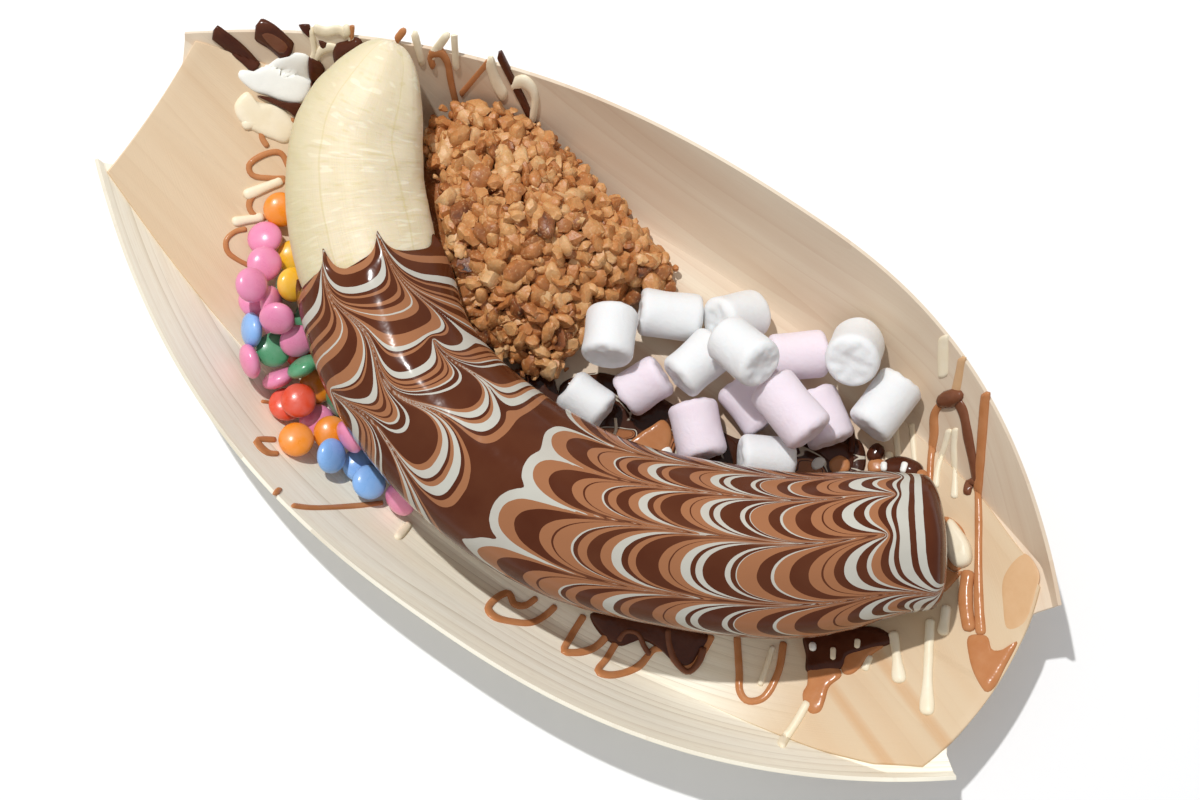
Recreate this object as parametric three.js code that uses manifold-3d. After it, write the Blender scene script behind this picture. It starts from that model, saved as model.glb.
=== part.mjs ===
// A banana split in a folded wood-veneer boat: a banana half dipped in chocolate glaze, a heap of chopped
// nuts, marshmallows, sugar-coated chocolate lentils, and chocolate sauce poured over the veneer.
//
// Millimetres, Z up. X runs along the boat, from the end where the bare banana tip lies (-X) to the end
// where the glazed tip lies (+X). Y points to the side of the nuts and marshmallows, called the far side;
// -Y is the near side. Z = 0 is the flat underside of the boat, and the origin is the middle of it.

import * as THREE from "three";
import { mergeVertices } from "three/addons/utils/BufferGeometryUtils.js";
import Module from "manifold-3d";

const wasm = await Module();
wasm.setup();

// ---------------------------------------------------------------- driving dimensions

const CLEARANCE = 0.3; // between pieces that lie on or beside each other
const FLOOR_CLEARANCE = 0.4; // between the boat and what is cut to lie on its floor
const VENEER = 0.9; // thickness of the boat's veneer

const RIM_HEIGHT = 24; // top of the side walls in the middle of the boat
const RIM_RISE = 0.8; // how much higher the rim is at the folded ends
const FLAP_REACH = 108; // from the origin to the outer edge of each end flap
const EAR_REACH = 112.4; // from the origin to the wall corners that stick out past the flaps
const FLAT_LEFT = -50; // the underside is flat between these two stations
const FLAT_RIGHT = 56;
const FLAP_RISE = { left: 20.5, right: 19.5 }; // height gained by each end flap
const FLAP_CURVE = 1.4; // 1 would be a straight ramp
const FLAP_DISH = 2.5; // how much higher a flap's sides are than its middle
const FOLD_START = { left: [50, 80], right: [54, 84] }; // where the walls turn from a bend into a fold
// How far a wall runs on under the floor panel in the middle and behind the folded flaps, how much shorter
// the lap is at its ends, how deep it lies there as a share of the veneer, and how deep in the middle.
const LAP = { middle: 3, folded: 9, tuck: 4, depth: 0.65, slope: 0.3 };
const SEAM_DROP = 0.05; // how far the wall's foot starts below the panel's upper face
const WALL_CURVE = { middle: 1.5, ends: 1.05 }; // flare of the walls: 1 is straight

// Half breadths along the boat: the widest value, its station, and the value at the reach of each end.
const RIM = {
  far: { at: 22, peak: 60.7, power: 2.4, left: { reach: 134, end: 17.5 }, right: { reach: 91, end: 18 } },
  near: { at: 4, peak: 55.5, power: 2.4, left: { reach: 116, end: 14 }, right: { reach: 108, end: 20.5 } },
};
const FOLD = {
  far: { at: 16, peak: 44, power: 2, left: { reach: 125, end: 17.5 }, right: { reach: 90, end: 25.7 } },
  near: { at: 16, peak: 40.5, power: 2, left: { reach: 123, end: 16.5 }, right: { reach: 90, end: 26 } },
};
const LEAST_WALL = 1; // plan width of a wall where it runs out at the corners
const BEYOND_SLOPE = 0.2; // slope of the veneer past the reach of the flaps
// The flaps' edges: the left one is straight and a little askew, the right one is a bow.
const FLAP_EDGE = { left: { out: 0.2, skew: 0.04 }, right: { out: 1.6, bow: 5.3, half: 26 }, from: 84 };

// The banana's centre line, from the bare tip to the glazed tip.
const BANANA_LINE = [
  [-72.5, 41, 29],
  [-70.3, 31.4, 26.4],
  [-68.6, 21.1, 22.6],
  [-60, 8.2, 19],
  [-47.4, -3.4, 17.9],
  [-34, -13.5, 18.8],
  [-17, -19.5, 19.6],
  [1, -21.3, 19.7],
  [20, -19.2, 19.7],
  [40, -11.8, 19.8],
  [60, -1, 20.6],
  [74, 11.3, 22.2],
  [82.4, 17.6, 23],
];
// Radius of the bare fruit, at equal steps along the centre line.
const BANANA_RADII = [8.1, 12.7, 15.2, 15.2, 14.5, 14.9, 16, 16.3, 16, 15.8, 15.6, 14.1, 11.3];
const BANANA_RIDGES = { count: 5, depth: 0.03, turn: 0.5 }; // the fruit's soft corners
const TIP_ROUNDING = { start: 16.5, end: 4.4 }; // length of the rounded stretch at each tip
const GLAZE = 1.5; // thickness of the chocolate glaze
const GLAZE_GAP = 0.7; // between the fruit and the glaze
const GLAZE_FROM = 47; // distance from the bare tip past which other pieces keep clear of the glaze
const RING_EASE = 0.45; // 0 spaces the banana's rings evenly, 1 crowds them at the tips
// Where the glaze starts round the fruit: angle in degrees from the top towards the near side,
// and distance from the bare tip. Two drawn-out tongues stand between hollows.
const GLAZE_EDGE = [
  [-180, 57.1],
  [-105, 52.1],
  [-30, 52.1],
  [-15, 46],
  [0, 51.8],
  [15, 53.4],
  [30, 47.4],
  [45, 51.6],
  [75, 53.6],
  [120, 51.6],
  [180, 57.1],
];

// The heap's top, its pieces, how steeply its top falls to the edge, and how far its core stays off the floor.
const NUT_HEAP = { centre: [-30, 25, 21], pieces: 94, size: 2.35, seed: 7, fall: 1.8, lift: 0.5 };
// Outline of the heap, with the height of its edge.
const NUT_OUTLINE = [
  [-58, 31, 13],
  [-55, 40, 14.5],
  [-42, 45.5, 14],
  [-33, 45.5, 11.5],
  [-21, 43.5, 7],
  [-9, 41.5, 4.5],
  [4.5, 36.5, 3.6],
  [0, 29, 4.5],
  [-4.5, 21, 6],
  [-5, 12, 6.5],
  [-6, 4, 6.5],
  [-19, 1, 9],
  [-33, 4, 12],
  [-45, 12, 14],
  [-54, 23, 14],
];

const POOL = { from: 0.42, to: 0.95, depth: 1.3, inner: 7, spread: 25, wave: 3 }; // sauce beside the banana

const MARSHMALLOW = { radius: 5.6, length: 12.4, edge: 1.6 };
// Colour, place in plan, heading and pitch of the axis, length and girth against the usual one.
const MARSHMALLOWS = [
  ["white", 7.5, 29.6, -152, 5, 1.1, 0.97],
  ["white", 17.6, 36.6, -125, 36, 0.98, 0.98],
  ["white", 0.4, 16.8, -64, 17, 0.95, 1.03],
  ["pink", 12.2, 12.6, 66, 12, 0.85, 0.94],
  ["white", 5, 2.6, -3, 4, 0.82, 0.92],
  ["pink", 27.4, 11, -44, 2, 1, 1],
  ["white", 19.4, 22.8, -104, 5, 0.98, 0.98],
  ["pink", 31.6, 20.6, -18, 2, 0.95, 0.97],
  ["white", 43.4, 14, -147, 8, 0.95, 0.97],
  ["pink", 36.4, 37.2, -140, 4, 1.02, 0.97],
  ["pink", 48.4, 29, -35, 4, 1, 0.97],
  ["white", 57.4, 37.6, -93, 3, 1.1, 0.98],
  ["white", 46.2, 43.6, -80, 55, 0.98, 1.08],
  ["white", 26.6, 28.4, -11, 35, 1.05, 1],
  ["pink", 41, 24, -18, 8, 1.18, 1.02],
];

const LENTIL = { radius: 3.85, thickness: 4 };
// Colour, place in plan, heading towards which the top leans, and lean from the vertical.
const LENTILS = [
  ["orange", -75.6, -0.5, 0, 15],
  ["yellow", -67.5, -7.2, 20, 20],
  ["green", -63.8, -12.7, 10, 25],
  ["yellow", -60.8, -12.9, 23, 40],
  ["green", -58.2, -16.2, 22, 35],
  ["red", -54.8, -23.3, 10, 25],
  ["orange", -47.5, -27.8, 0, 20],
  ["pink", -42.9, -34.1, 40, 10],
  ["orange", -38.3, -34.6, 20, 10],
  ["green", -58.9, -26.9, 40, 20],
  ["pink", -62.4, -23.2, -119, 30],
  ["pink", -68.2, -20.2, 60, 18],
  ["pink", -74.5, -7.8, 150, 10],
  ["pink", -70.6, -12.7, 30, 18],
  ["pink", -64.3, -17, 34, 74],
  ["pink", -68.7, -18.5, 34, 40],
  ["blue", -64.7, -26.1, -138, 62],
  ["pink", -60.5, -21.2, -60, 42],
  ["pink", -56.3, -22.4, -31, 42],
  ["pink", -60.9, -30.9, -126, 72],
  ["pink", -55.9, -31.1, 149, 68],
  ["green", -51.1, -26.2, 155, 66],
  ["red", -51.6, -33.5, 90, 20],
  ["red", -47.8, -32.8, 60, 8],
  ["green", -42.2, -29.9, -108, 74],
  ["orange", -43, -40.1, 90, 15],
  ["blue", -29.6, -36.6, 60, 15],
  ["blue", -34.8, -38.7, 26, 52],
  ["pink", -33.7, -33.2, -111, 74],
  ["blue", -25.1, -38.7, 46, 26],
  ["pink", -18.3, -38.7, -105, 52],
];

// Sauce that has set on the veneer: width and height of the bead, and the points that it runs through.
const SAUCE_STROKES = [
  { width: 2.8, height: 1, through: [[-107, 20.4], [-102, 21.2], [-96, 21.2]] },
  { width: 3.8, height: 1, through: [[-100, 26.4], [-95.6, 27.3], [-90.5, 27.6]] },
  { width: 4.6, height: 1.3, through: [[-98, 19], [-92.6, 20.2], [-87, 21]] },
  { width: 3.2, height: 1.3, through: [[-95.7, 13.3], [-91.6, 13.7], [-87, 16]] },
  { width: 1.3, height: 1, through: [[-86, 15.4], [-88, 11], [-85.4, 8.8], [-82, 11]] },
  { width: 1.3, height: 1, through: [[-84, 7.6], [-86, 2.8], [-82.6, 2.2], [-80, 4]] },
  { width: 1.2, height: 0.9, through: [[-81, 1], [-82.2, -3.4]] },
  { width: 1.2, height: 0.9, through: [[-80.5, -8.5], [-81, -12.6], [-78.4, -15.2]] },
  { width: 1.4, height: 0.9, through: [[-65, 43.4], [-63.6, 46], [-61, 45.8], [-59, 44]] },
  { width: 1.3, height: 0.9, through: [[-51.7, 51.3], [-48.4, 50], [-44.4, 49.4]] },
  { width: 1.5, height: 1, through: [[20.4, -38], [14, -41], [11.4, -45], [14, -47], [19, -45], [23, -39]] },
  { width: 1.5, height: 1, through: [[28.5, -35], [29, -40], [30.6, -44.4], [35.6, -42], [37.6, -36]] },
  { width: 1.5, height: 1, through: [[39.5, -36], [39, -42], [43, -43], [47, -38], [49, -33]] },
  { width: 6, height: 1.1, through: [[31, -34], [43, -32], [55, -26.5]] },
  { width: 1.2, height: 0.8, through: [[-33, -52], [-28, -48.1], [-21.5, -43.4]] },
  { width: 1.8, height: 1, through: [[61, -22], [65.5, -28.2], [69.2, -30.2], [72.4, -26], [71.2, -20.4]] },
  { width: 5.5, height: 1.1, through: [[74, -15.6], [80, -12.2], [86, -8.2]] },
  { width: 3, height: 1.1, through: [[77.5, -15], [79.6, -20], [82, -25]] },
  { width: 2.2, height: 1.1, through: [[79.4, -26], [80, -29.3], [80.2, -34.6]] },
  { width: 2.4, height: 1.1, through: [[88.5, -2.5], [90.8, -6], [94.4, -11]] },
  { width: 2.6, height: 1.1, through: [[94, 5.5], [95.8, -0.3], [101, -12.4]] },
  { width: 2, height: 1, through: [[74.6, 46], [79.5, 41.4], [87, 32.4], [94, 22]] },
  { width: 8, height: 1, through: [[97.5, 17], [102, 10], [104, 4]] },
  { width: 2.4, height: 1.1, through: [[93.5, 15.5], [95.8, 12.4], [99, 7.4]] },
  { width: 2.2, height: 1, through: [[66, 43.6], [69.5, 41.5], [74.5, 33.6]] },
  { width: 1.8, height: 1, through: [[70.5, 43.6], [77, 40], [84, 33.4]] },
  { width: 4, height: 1.6, through: [[91, 25], [93, 21.5]] },
];
const STROKE_SINK = 0.5; // how deep a bead is bedded into the surface that carries it
const STROKE_POINT = 0.35; // width of a bead at its very ends, as a share

// A small piece may lie this far beside its place, if each millimetre aside lowers it by more than the cost.
const SIDE_STEPS = [1, 2, 3];
const SIDE_COST = { marshmallow: 1.2, lentil: 2.4 };
const RAISE_STEP = 1.5; // a piece is raised in these steps until it is clear,
const LOWER_STEP = 0.35; // and then let down in these

const COLOURS = {
  veneer: 0xe3cba4,
  banana: 0xe9ddb2,
  glaze: 0x4a2415,
  nuts: 0xb9793f,
  sauce: 0x3a1d14,
  white: 0xf4f2ec,
  pink: 0xeecbd3,
};
const LENTIL_COLOURS = {
  orange: 0xf08a1d,
  pink: 0xe07fae,
  yellow: 0xf2bc2d,
  green: 0x4c9a6b,
  blue: 0x86b1e8,
  red: 0xdc4c2e,
};

// ---------------------------------------------------------------- solids

// A closed geometry as a manifold-3d solid, with its faces turned outwards.
function solidFrom(geometry) {
  const position = geometry.getAttribute("position").clone();
  const bare = new THREE.BufferGeometry().setAttribute("position", position);
  bare.setIndex(geometry.index ? geometry.index.clone() : null);
  const merged = mergeVertices(bare, 1e-4);
  const vertProperties = new Float32Array(merged.attributes.position.array);
  const triVerts = new Uint32Array(merged.index.array);
  const solid = new wasm.Manifold(new wasm.Mesh({ numProp: 3, vertProperties, triVerts }));
  if (solid.volume() >= 0) return solid;
  triVerts.reverse();
  return new wasm.Manifold(new wasm.Mesh({ numProp: 3, vertProperties, triVerts }));
}

// A solid as a geometry with flat faces.
function geometryFrom(solid) {
  const { numProp, vertProperties, triVerts, numVert } = solid.getMesh();
  const positions = new Float32Array(numVert * 3);
  for (let i = 0; i < numVert; i++) positions.set(vertProperties.subarray(i * numProp, i * numProp + 3), i * 3);
  return new THREE.BufferGeometry()
    .setAttribute("position", new THREE.BufferAttribute(positions, 3))
    .setIndex(new THREE.BufferAttribute(triVerts, 1));
}

// The largest body of a solid: what a cut leaves loose is dropped.
function largestBody(solid) {
  return solid.decompose().reduce((a, b) => (b.volume() > a.volume() ? b : a));
}

function indexedGeometry(points, index) {
  const positions = new Float32Array(points.flatMap((p) => p.toArray()));
  return new THREE.BufferGeometry()
    .setAttribute("position", new THREE.BufferAttribute(positions, 3))
    .setIndex(index);
}

// Two triangles for each cell between two rows of points that start at a and b. A closed row goes round.
function stitch(index, a, b, count, closed) {
  const cells = closed ? count : count - 1;
  for (let j = 0; j < cells; j++) {
    const k = (j + 1) % count;
    index.push(a + j, b + j, b + k, a + j, b + k, a + k);
  }
}

// A closed sheet between two grids of points with the same rows and columns.
function sheetGeometry(top, bottom) {
  const rows = top.length;
  const columns = top[0].length;
  // Each section runs along the top row and back along the bottom row.
  const sections = top.map((row, i) => [...row, ...bottom[i].slice().reverse()]);
  const index = [];
  for (let i = 0; i < rows - 1; i++) {
    stitch(index, i * 2 * columns, (i + 1) * 2 * columns, 2 * columns, true);
  }
  for (const [i, first] of [[0, true], [rows - 1, false]]) {
    const start = i * 2 * columns;
    for (let j = 0; j < columns - 1; j++) {
      const quad = [start + j, start + j + 1, start + 2 * columns - 2 - j, start + 2 * columns - 1 - j];
      const [a, b, c, d] = first ? quad : quad.reverse();
      index.push(a, b, c, a, c, d);
    }
  }
  return indexedGeometry(sections.flat(), index);
}

// A closed body through rings of points, with a pole at each end.
function loftGeometry(startPole, rings, endPole) {
  const count = rings[0].length;
  const index = [];
  rings.slice(1).forEach((_, i) => stitch(index, 1 + i * count, 1 + (i + 1) * count, count, true));
  const last = 1 + rings.length * count;
  for (let j = 0; j < count; j++) {
    const k = (j + 1) % count;
    index.push(0, 1 + j, 1 + k);
    index.push(last, last - count + k, last - count + j);
  }
  return indexedGeometry([startPole, ...rings.flat(), endPole], index);
}

// Seeded random numbers from 0 to 1.
function randomFrom(seed) {
  let state = seed;
  return () => {
    state = (state * 1664525 + 1013904223) % 4294967296;
    return state / 4294967296;
  };
}

// ---------------------------------------------------------------- the boat's form

const FAR = 1;
const NEAR = -1;
const smooth = (value, [from, to]) => THREE.MathUtils.smoothstep(value, from, to);
const mix = THREE.MathUtils.lerp;

function breadth(curve, x) {
  const half = x < curve.at ? curve.left : curve.right;
  return half.end + (curve.peak - half.end) * (1 - (Math.abs(x - curve.at) / half.reach) ** curve.power);
}

// Half breadth of the rim and of the fold between floor and wall, on either side.
const sideName = (side) => (side === FAR ? "far" : "near");
const rimAt = (x, side) => breadth(RIM[sideName(side)], x);
const foldAt = (x, side) => Math.min(breadth(FOLD[sideName(side)], x), rimAt(x, side) - LEAST_WALL);

// 0 where the wall bends up out of the floor, 1 where the end flap is folded over it.
const foldedness = (x) => (x < 0 ? smooth(-x, FOLD_START.left) : smooth(x, FOLD_START.right));

// Height of the floor's upper face along the middle of the boat.
function keelAt(x) {
  const start = x < 0 ? -FLAT_LEFT : FLAT_RIGHT;
  const rise = x < 0 ? FLAP_RISE.left : FLAP_RISE.right;
  const along = (Math.min(Math.abs(x), FLAP_REACH) - start) / (FLAP_REACH - start);
  const beyond = Math.max(Math.abs(x) - FLAP_REACH, 0) * BEYOND_SLOPE;
  return VENEER + rise * Math.max(along, 0) ** FLAP_CURVE + beyond;
}

function panelTop(x, y) {
  const fold = foldAt(x, y < 0 ? NEAR : FAR);
  return keelAt(x) + FLAP_DISH * foldedness(x) * (Math.min(Math.abs(y), fold) / fold) ** 2;
}

function wallTop(x, y) {
  const side = y < 0 ? NEAR : FAR;
  const fold = foldAt(x, side);
  const folded = foldedness(x);
  const foot = keelAt(x) + (FLAP_DISH - VENEER) * folded;
  const rise = RIM_HEIGHT + RIM_RISE * folded - foot;
  const out = Math.max(Math.abs(y) - fold, 0) / (rimAt(x, side) - fold);
  return foot + rise * Math.min(out, 1.2) ** mix(WALL_CURVE.middle, WALL_CURVE.ends, folded);
}

// Height of whatever veneer lies on top at a place.
const floorAt = (x, y) => (Math.abs(y) <= foldAt(x, y < 0 ? NEAR : FAR) ? panelTop(x, y) : wallTop(x, y));

function floorNormal(x, y) {
  const step = 0.5;
  const dx = (floorAt(x + step, y) - floorAt(x - step, y)) / (2 * step);
  const dy = (floorAt(x, y + step) - floorAt(x, y - step)) / (2 * step);
  return new THREE.Vector3(-dx, -dy, 1).normalize();
}

// The lower grid of a sheet: each point goes down by the veneer's thickness, square to the upper face,
// and no lower than the surface the boat stands on.
function underGrid(top, thickness) {
  return top.map((row, i) =>
    row.map((point, j) => {
      const along = top[Math.min(i + 1, top.length - 1)][j].clone().sub(top[Math.max(i - 1, 0)][j]);
      const across = row[Math.min(j + 1, row.length - 1)].clone().sub(row[Math.max(j - 1, 0)]);
      const normal = along.cross(across).normalize();
      if (normal.z < 0) normal.negate();
      const under = point.clone().addScaledVector(normal, -thickness);
      under.z = Math.max(under.z, 0);
      return under;
    }),
  );
}

const STATIONS = [-108, -100, -91, -82, -73, -64, -55, -44, -28, -12, 4, 20, 36, 50, 60, 70, 80, 90, 99, 108];

// The floor strip with its end flaps: the left edge is straight, the right edge bows out.
function panelSolid() {
  const columns = 5;
  const top = STATIONS.map((station) =>
    Array.from({ length: columns }, (_, j) => {
      const across = (2 * j) / (columns - 1) - 1;
      const y = across * foldAt(station, across < 0 ? NEAR : FAR);
      const { left, right, from } = FLAP_EDGE;
      const edge = station < 0 ? left.out + left.skew * y : right.out - right.bow * (y / right.half) ** 2;
      const x = station + Math.sign(station) * edge * smooth(Math.abs(station), [from, FLAP_REACH]);
      return new THREE.Vector3(x, y, panelTop(x, y));
    }),
  );
  return solidFrom(sheetGeometry(top, underGrid(top, VENEER)));
}

// A side wall, from the strip that runs on under the floor panel to the rim.
function wallSolid(side) {
  const lapSteps = [-1, 0];
  const wallSteps = [0.27, 0.52, 0.76, 1];
  const ends = [-EAR_REACH, EAR_REACH];
  const stations = [ends[0], ...STATIONS, ends[1]];
  const top = stations.map((station) => {
    const folded = foldedness(station);
    const fold = foldAt(station, side);
    const rim = rimAt(station, side);
    const lap = mix(LAP.middle, LAP.folded, folded);
    const lapPoint = (step) => {
      const y = fold + step * lap;
      const tuck = ends.includes(station) ? -LAP.tuck * step : 0;
      const x = station - Math.sign(station) * tuck;
      const footDrop = VENEER * folded + SEAM_DROP;
      const lapDrop = Math.max(LAP.depth * VENEER * folded, -LAP.slope * step);
      return new THREE.Vector3(x, side * y, panelTop(x, side * y) - (step === 0 ? footDrop : lapDrop));
    };
    const wallPoint = (step) => {
      const y = mix(fold, rim, step);
      return new THREE.Vector3(station, side * y, wallTop(station, side * y));
    };
    return [...lapSteps.map(lapPoint), ...wallSteps.map(wallPoint)];
  });
  return solidFrom(sheetGeometry(top, underGrid(top, VENEER)));
}

// A bead of sauce that follows the floor, pointed at both ends.
function strokeSolid({ width, height, through }) {
  const line = new THREE.CatmullRomCurve3(through.map(([x, y]) => new THREE.Vector3(x, y, 0)));
  const steps = Math.max(3, Math.round(1.4 * (through.length - 1)));
  const rings = [];
  for (let i = 0; i <= steps; i++) {
    const at = i / steps;
    const { x, y } = line.getPointAt(at);
    const normal = floorNormal(x, y);
    const across = line.getTangentAt(at).cross(normal).normalize();
    const full = Math.min(1, STROKE_POINT + 1.1 * Math.min(at, 1 - at) * steps);
    const centre = new THREE.Vector3(x, y, floorAt(x, y));
    const half = (width / 2) * full;
    const crest = [0.6 * half, height * full];
    const section = [[-half, -STROKE_SINK], [-crest[0], crest[1]], crest, [half, -STROKE_SINK]];
    rings.push(section.map(([u, v]) => centre.clone().addScaledVector(across, u).addScaledVector(normal, v)));
  }
  const middle = (ring) => ring.reduce((sum, p) => sum.add(p), new THREE.Vector3()).divideScalar(ring.length);
  return solidFrom(loftGeometry(middle(rings[0]), rings, middle(rings[rings.length - 1])));
}

// ---------------------------------------------------------------- the banana's form

const bananaLine = new THREE.CatmullRomCurve3(BANANA_LINE.map((p) => new THREE.Vector3(...p)));
bananaLine.arcLengthDivisions = 600;
const BANANA_LENGTH = bananaLine.getLength();

// Radius of the fruit at a distance from the bare tip, before its tips are rounded.
function bananaRadius(distance) {
  const place = THREE.MathUtils.clamp(distance / BANANA_LENGTH, 0, 1) * (BANANA_RADII.length - 1);
  const i = Math.min(Math.floor(place), BANANA_RADII.length - 2);
  return mix(BANANA_RADII[i], BANANA_RADII[i + 1], place - i);
}

// How far a rounded tip has opened at a distance from its very end.
const opening = (distance, length) => (1 - Math.max(1 - distance / length, 0) ** 2.3) ** (1 / 2.3);

// A point on the fruit, or at an offset outside it, by distance from the bare tip and by the angle from
// the top towards the near side.
function bananaPoint(distance, angle, offset) {
  const along = THREE.MathUtils.clamp(distance / BANANA_LENGTH, 0, 1);
  const tangent = bananaLine.getTangentAt(along);
  const near = tangent.clone().cross(new THREE.Vector3(0, 0, 1)).normalize();
  const up = near.clone().cross(tangent);
  const centre = bananaLine.getPointAt(along).addScaledVector(tangent, distance - along * BANANA_LENGTH);
  const { count, depth, turn } = BANANA_RIDGES;
  const round = bananaRadius(distance) * (1 + depth * Math.cos(count * angle + turn)) + offset;
  const start = opening(distance + offset, TIP_ROUNDING.start);
  const end = opening(BANANA_LENGTH + offset - distance, TIP_ROUNDING.end);
  const radius = round * start * end;
  return centre.addScaledVector(near, radius * Math.sin(angle)).addScaledVector(up, radius * Math.cos(angle));
}

// The middle of the fruit's glazed tip, or of a surface at an offset outside it.
function bananaTip(offset) {
  const tip = BANANA_LENGTH + offset;
  return bananaPoint(tip, 0, offset).lerp(bananaPoint(tip, Math.PI, offset), 0.5);
}

// Distances of the rings: somewhat closer together at both tips.
function ringDistances(from, to, count) {
  return Array.from({ length: count }, (_, i) => {
    const even = (i + 0.35) / (count - 0.3);
    const eased = (1 - Math.cos(Math.PI * even)) / 2;
    return mix(from, to, mix(even, eased, RING_EASE));
  });
}

function bananaSolid(offset, from, sides, ringCount) {
  const angles = Array.from({ length: sides }, (_, j) => (2 * Math.PI * j) / sides);
  const distances = ringDistances(from - offset, BANANA_LENGTH + offset, ringCount);
  const rings = distances.map((d) => angles.map((a) => bananaPoint(d, a, offset)));
  const start = bananaPoint(from - offset, 0, offset).lerp(bananaPoint(from - offset, Math.PI, offset), 0.5);
  return solidFrom(loftGeometry(start, rings, bananaTip(offset)));
}

// Distance from the bare tip at which the glaze starts, at an angle in degrees.
function glazeEdgeAt(angle) {
  const next = GLAZE_EDGE.findIndex(([a]) => a > angle);
  const [[fromAngle, from], [toAngle, to]] = [GLAZE_EDGE[next - 1], GLAZE_EDGE[next]];
  return mix(from, to, (angle - fromAngle) / (toAngle - fromAngle));
}

// The glaze: a cup over the fruit, open at its drawn-out edge.
function glazeGeometry() {
  const sides = 24;
  const rows = 13;
  const tipRows = [0.985, 0.996]; // shares of the length where the cup closes round the tip
  const angles = Array.from({ length: sides }, (_, j) => (360 * j) / sides - 180);
  const evenRows = rows - tipRows.length;
  const runs = [...Array.from({ length: evenRows }, (_, i) => (0.96 * i) / (evenRows - 1)), ...tipRows];
  const wall = (offset) => {
    const end = BANANA_LENGTH + offset;
    const point = (run, angle) =>
      bananaPoint(mix(glazeEdgeAt(angle), end, run), THREE.MathUtils.degToRad(angle), offset);
    return runs.map((run) => angles.map((angle) => point(run, angle)));
  };
  const inner = wall(GLAZE_GAP);
  const outer = wall(GLAZE_GAP + GLAZE);
  // From the inner tip out to the edge, over it, and back to the outer tip.
  return loftGeometry(bananaTip(GLAZE_GAP), [...inner.reverse(), ...outer], bananaTip(GLAZE_GAP + GLAZE));
}

// ---------------------------------------------------------------- heap, sauce and small pieces

// The sauce that has run down the far side of the banana and lies on the floor.
function poolSolid(growth) {
  const { from, to, depth, inner, spread, wave } = POOL;
  const rows = 17;
  const columns = 5;
  const layer = (height) =>
    Array.from({ length: rows }, (_, i) => {
      const run = i / (rows - 1);
      const along = mix(from, to, run) + (growth / BANANA_LENGTH) * (run * 2 - 1);
      const centre = bananaLine.getPointAt(along);
      const away = bananaLine.getTangentAt(along).cross(new THREE.Vector3(0, 0, 1)).normalize().negate();
      const taper = Math.min(1, 0.45 + 5 * run * (1 - run));
      const outer = inner + (spread - inner + wave * Math.sin(23 * run)) * taper;
      return Array.from({ length: columns }, (_, j) => {
        const out = mix(inner - growth, outer + growth, j / (columns - 1));
        const { x, y } = centre.clone().addScaledVector(away, out);
        return new THREE.Vector3(x, y, floorAt(x, y) + height);
      });
    });
  return solidFrom(sheetGeometry(layer(depth + CLEARANCE + growth), layer(FLOOR_CLEARANCE - growth)));
}

const heapEdge = new THREE.CatmullRomCurve3(NUT_OUTLINE.map((p) => new THREE.Vector3(...p)), true);

// A point on the top of the heap: share of the way from its centre to its edge, and place round the edge.
function heapTop(share, around) {
  const centre = new THREE.Vector3(...NUT_HEAP.centre);
  const edge = heapEdge.getPointAt(around);
  const point = centre.clone().lerp(edge, share);
  point.z = mix(centre.z, edge.z, share ** NUT_HEAP.fall);
  return point;
}

function heapCore() {
  const sides = 18;
  const shares = [0.4, 0.75, 1];
  const ring = (share, onFloor) =>
    Array.from({ length: sides }, (_, j) => {
      const point = heapTop(share, j / sides);
      if (onFloor) point.z = floorAt(point.x, point.y) + NUT_HEAP.lift;
      return point;
    });
  const [x, y, z] = NUT_HEAP.centre;
  const tops = shares.map((share) => ring(share, false));
  const floors = shares.map((share) => ring(share, true)).reverse();
  const bottom = new THREE.Vector3(x, y, floorAt(x, y) + NUT_HEAP.lift);
  return solidFrom(loftGeometry(new THREE.Vector3(x, y, z), [...tops, ...floors], bottom));
}

// A broken nut: a block with its corners pushed in and out.
function nutSolid(centre, random) {
  const block = new THREE.BoxGeometry(1.5, 1.5, 1.5).deleteAttribute("normal").deleteAttribute("uv");
  const geometry = mergeVertices(block);
  const position = geometry.attributes.position;
  for (let i = 0; i < position.count; i++) {
    const push = mix(0.7, 1.2, random());
    position.setXYZ(i, position.getX(i) * push, position.getY(i) * push, position.getZ(i) * push);
  }
  const size = NUT_HEAP.size * mix(0.8, 1.2, random());
  const turn = new THREE.Euler(random() * Math.PI, random() * Math.PI, random() * Math.PI);
  const scale = new THREE.Vector3(size * 1.2, size, size * mix(0.65, 0.9, random()));
  const matrix = new THREE.Matrix4().compose(centre, new THREE.Quaternion().setFromEuler(turn), scale);
  return solidFrom(geometry.applyMatrix4(matrix));
}

function heapSolid(keepOut) {
  const random = randomFrom(NUT_HEAP.seed);
  const golden = (3 - Math.sqrt(5)) / 2;
  let heap = heapCore();
  for (let i = 0; i < NUT_HEAP.pieces; i++) {
    const share = 0.98 * Math.sqrt((i + 0.5) / NUT_HEAP.pieces);
    const centre = heapTop(share, (i * golden) % 1);
    centre.z += mix(0.1, 0.9, random());
    heap = heap.add(nutSolid(centre, random));
  }
  return largestBody(keepOut.reduce((solid, cut) => solid.subtract(cut), heap));
}

// A marshmallow along Z: a drum with soft edges.
function marshmallowGeometry(length, girth, growth) {
  const half = (MARSHMALLOW.length * length) / 2 + growth;
  const radius = MARSHMALLOW.radius * girth + growth;
  const edge = MARSHMALLOW.edge;
  const profile = [
    [0, -half],
    [radius - edge, -half],
    [radius, edge - half],
    [radius, half - edge],
    [radius - edge, half],
    [0, half],
  ];
  return new THREE.LatheGeometry(profile.map(([r, z]) => new THREE.Vector2(r, z)), 12).rotateX(Math.PI / 2);
}

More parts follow.
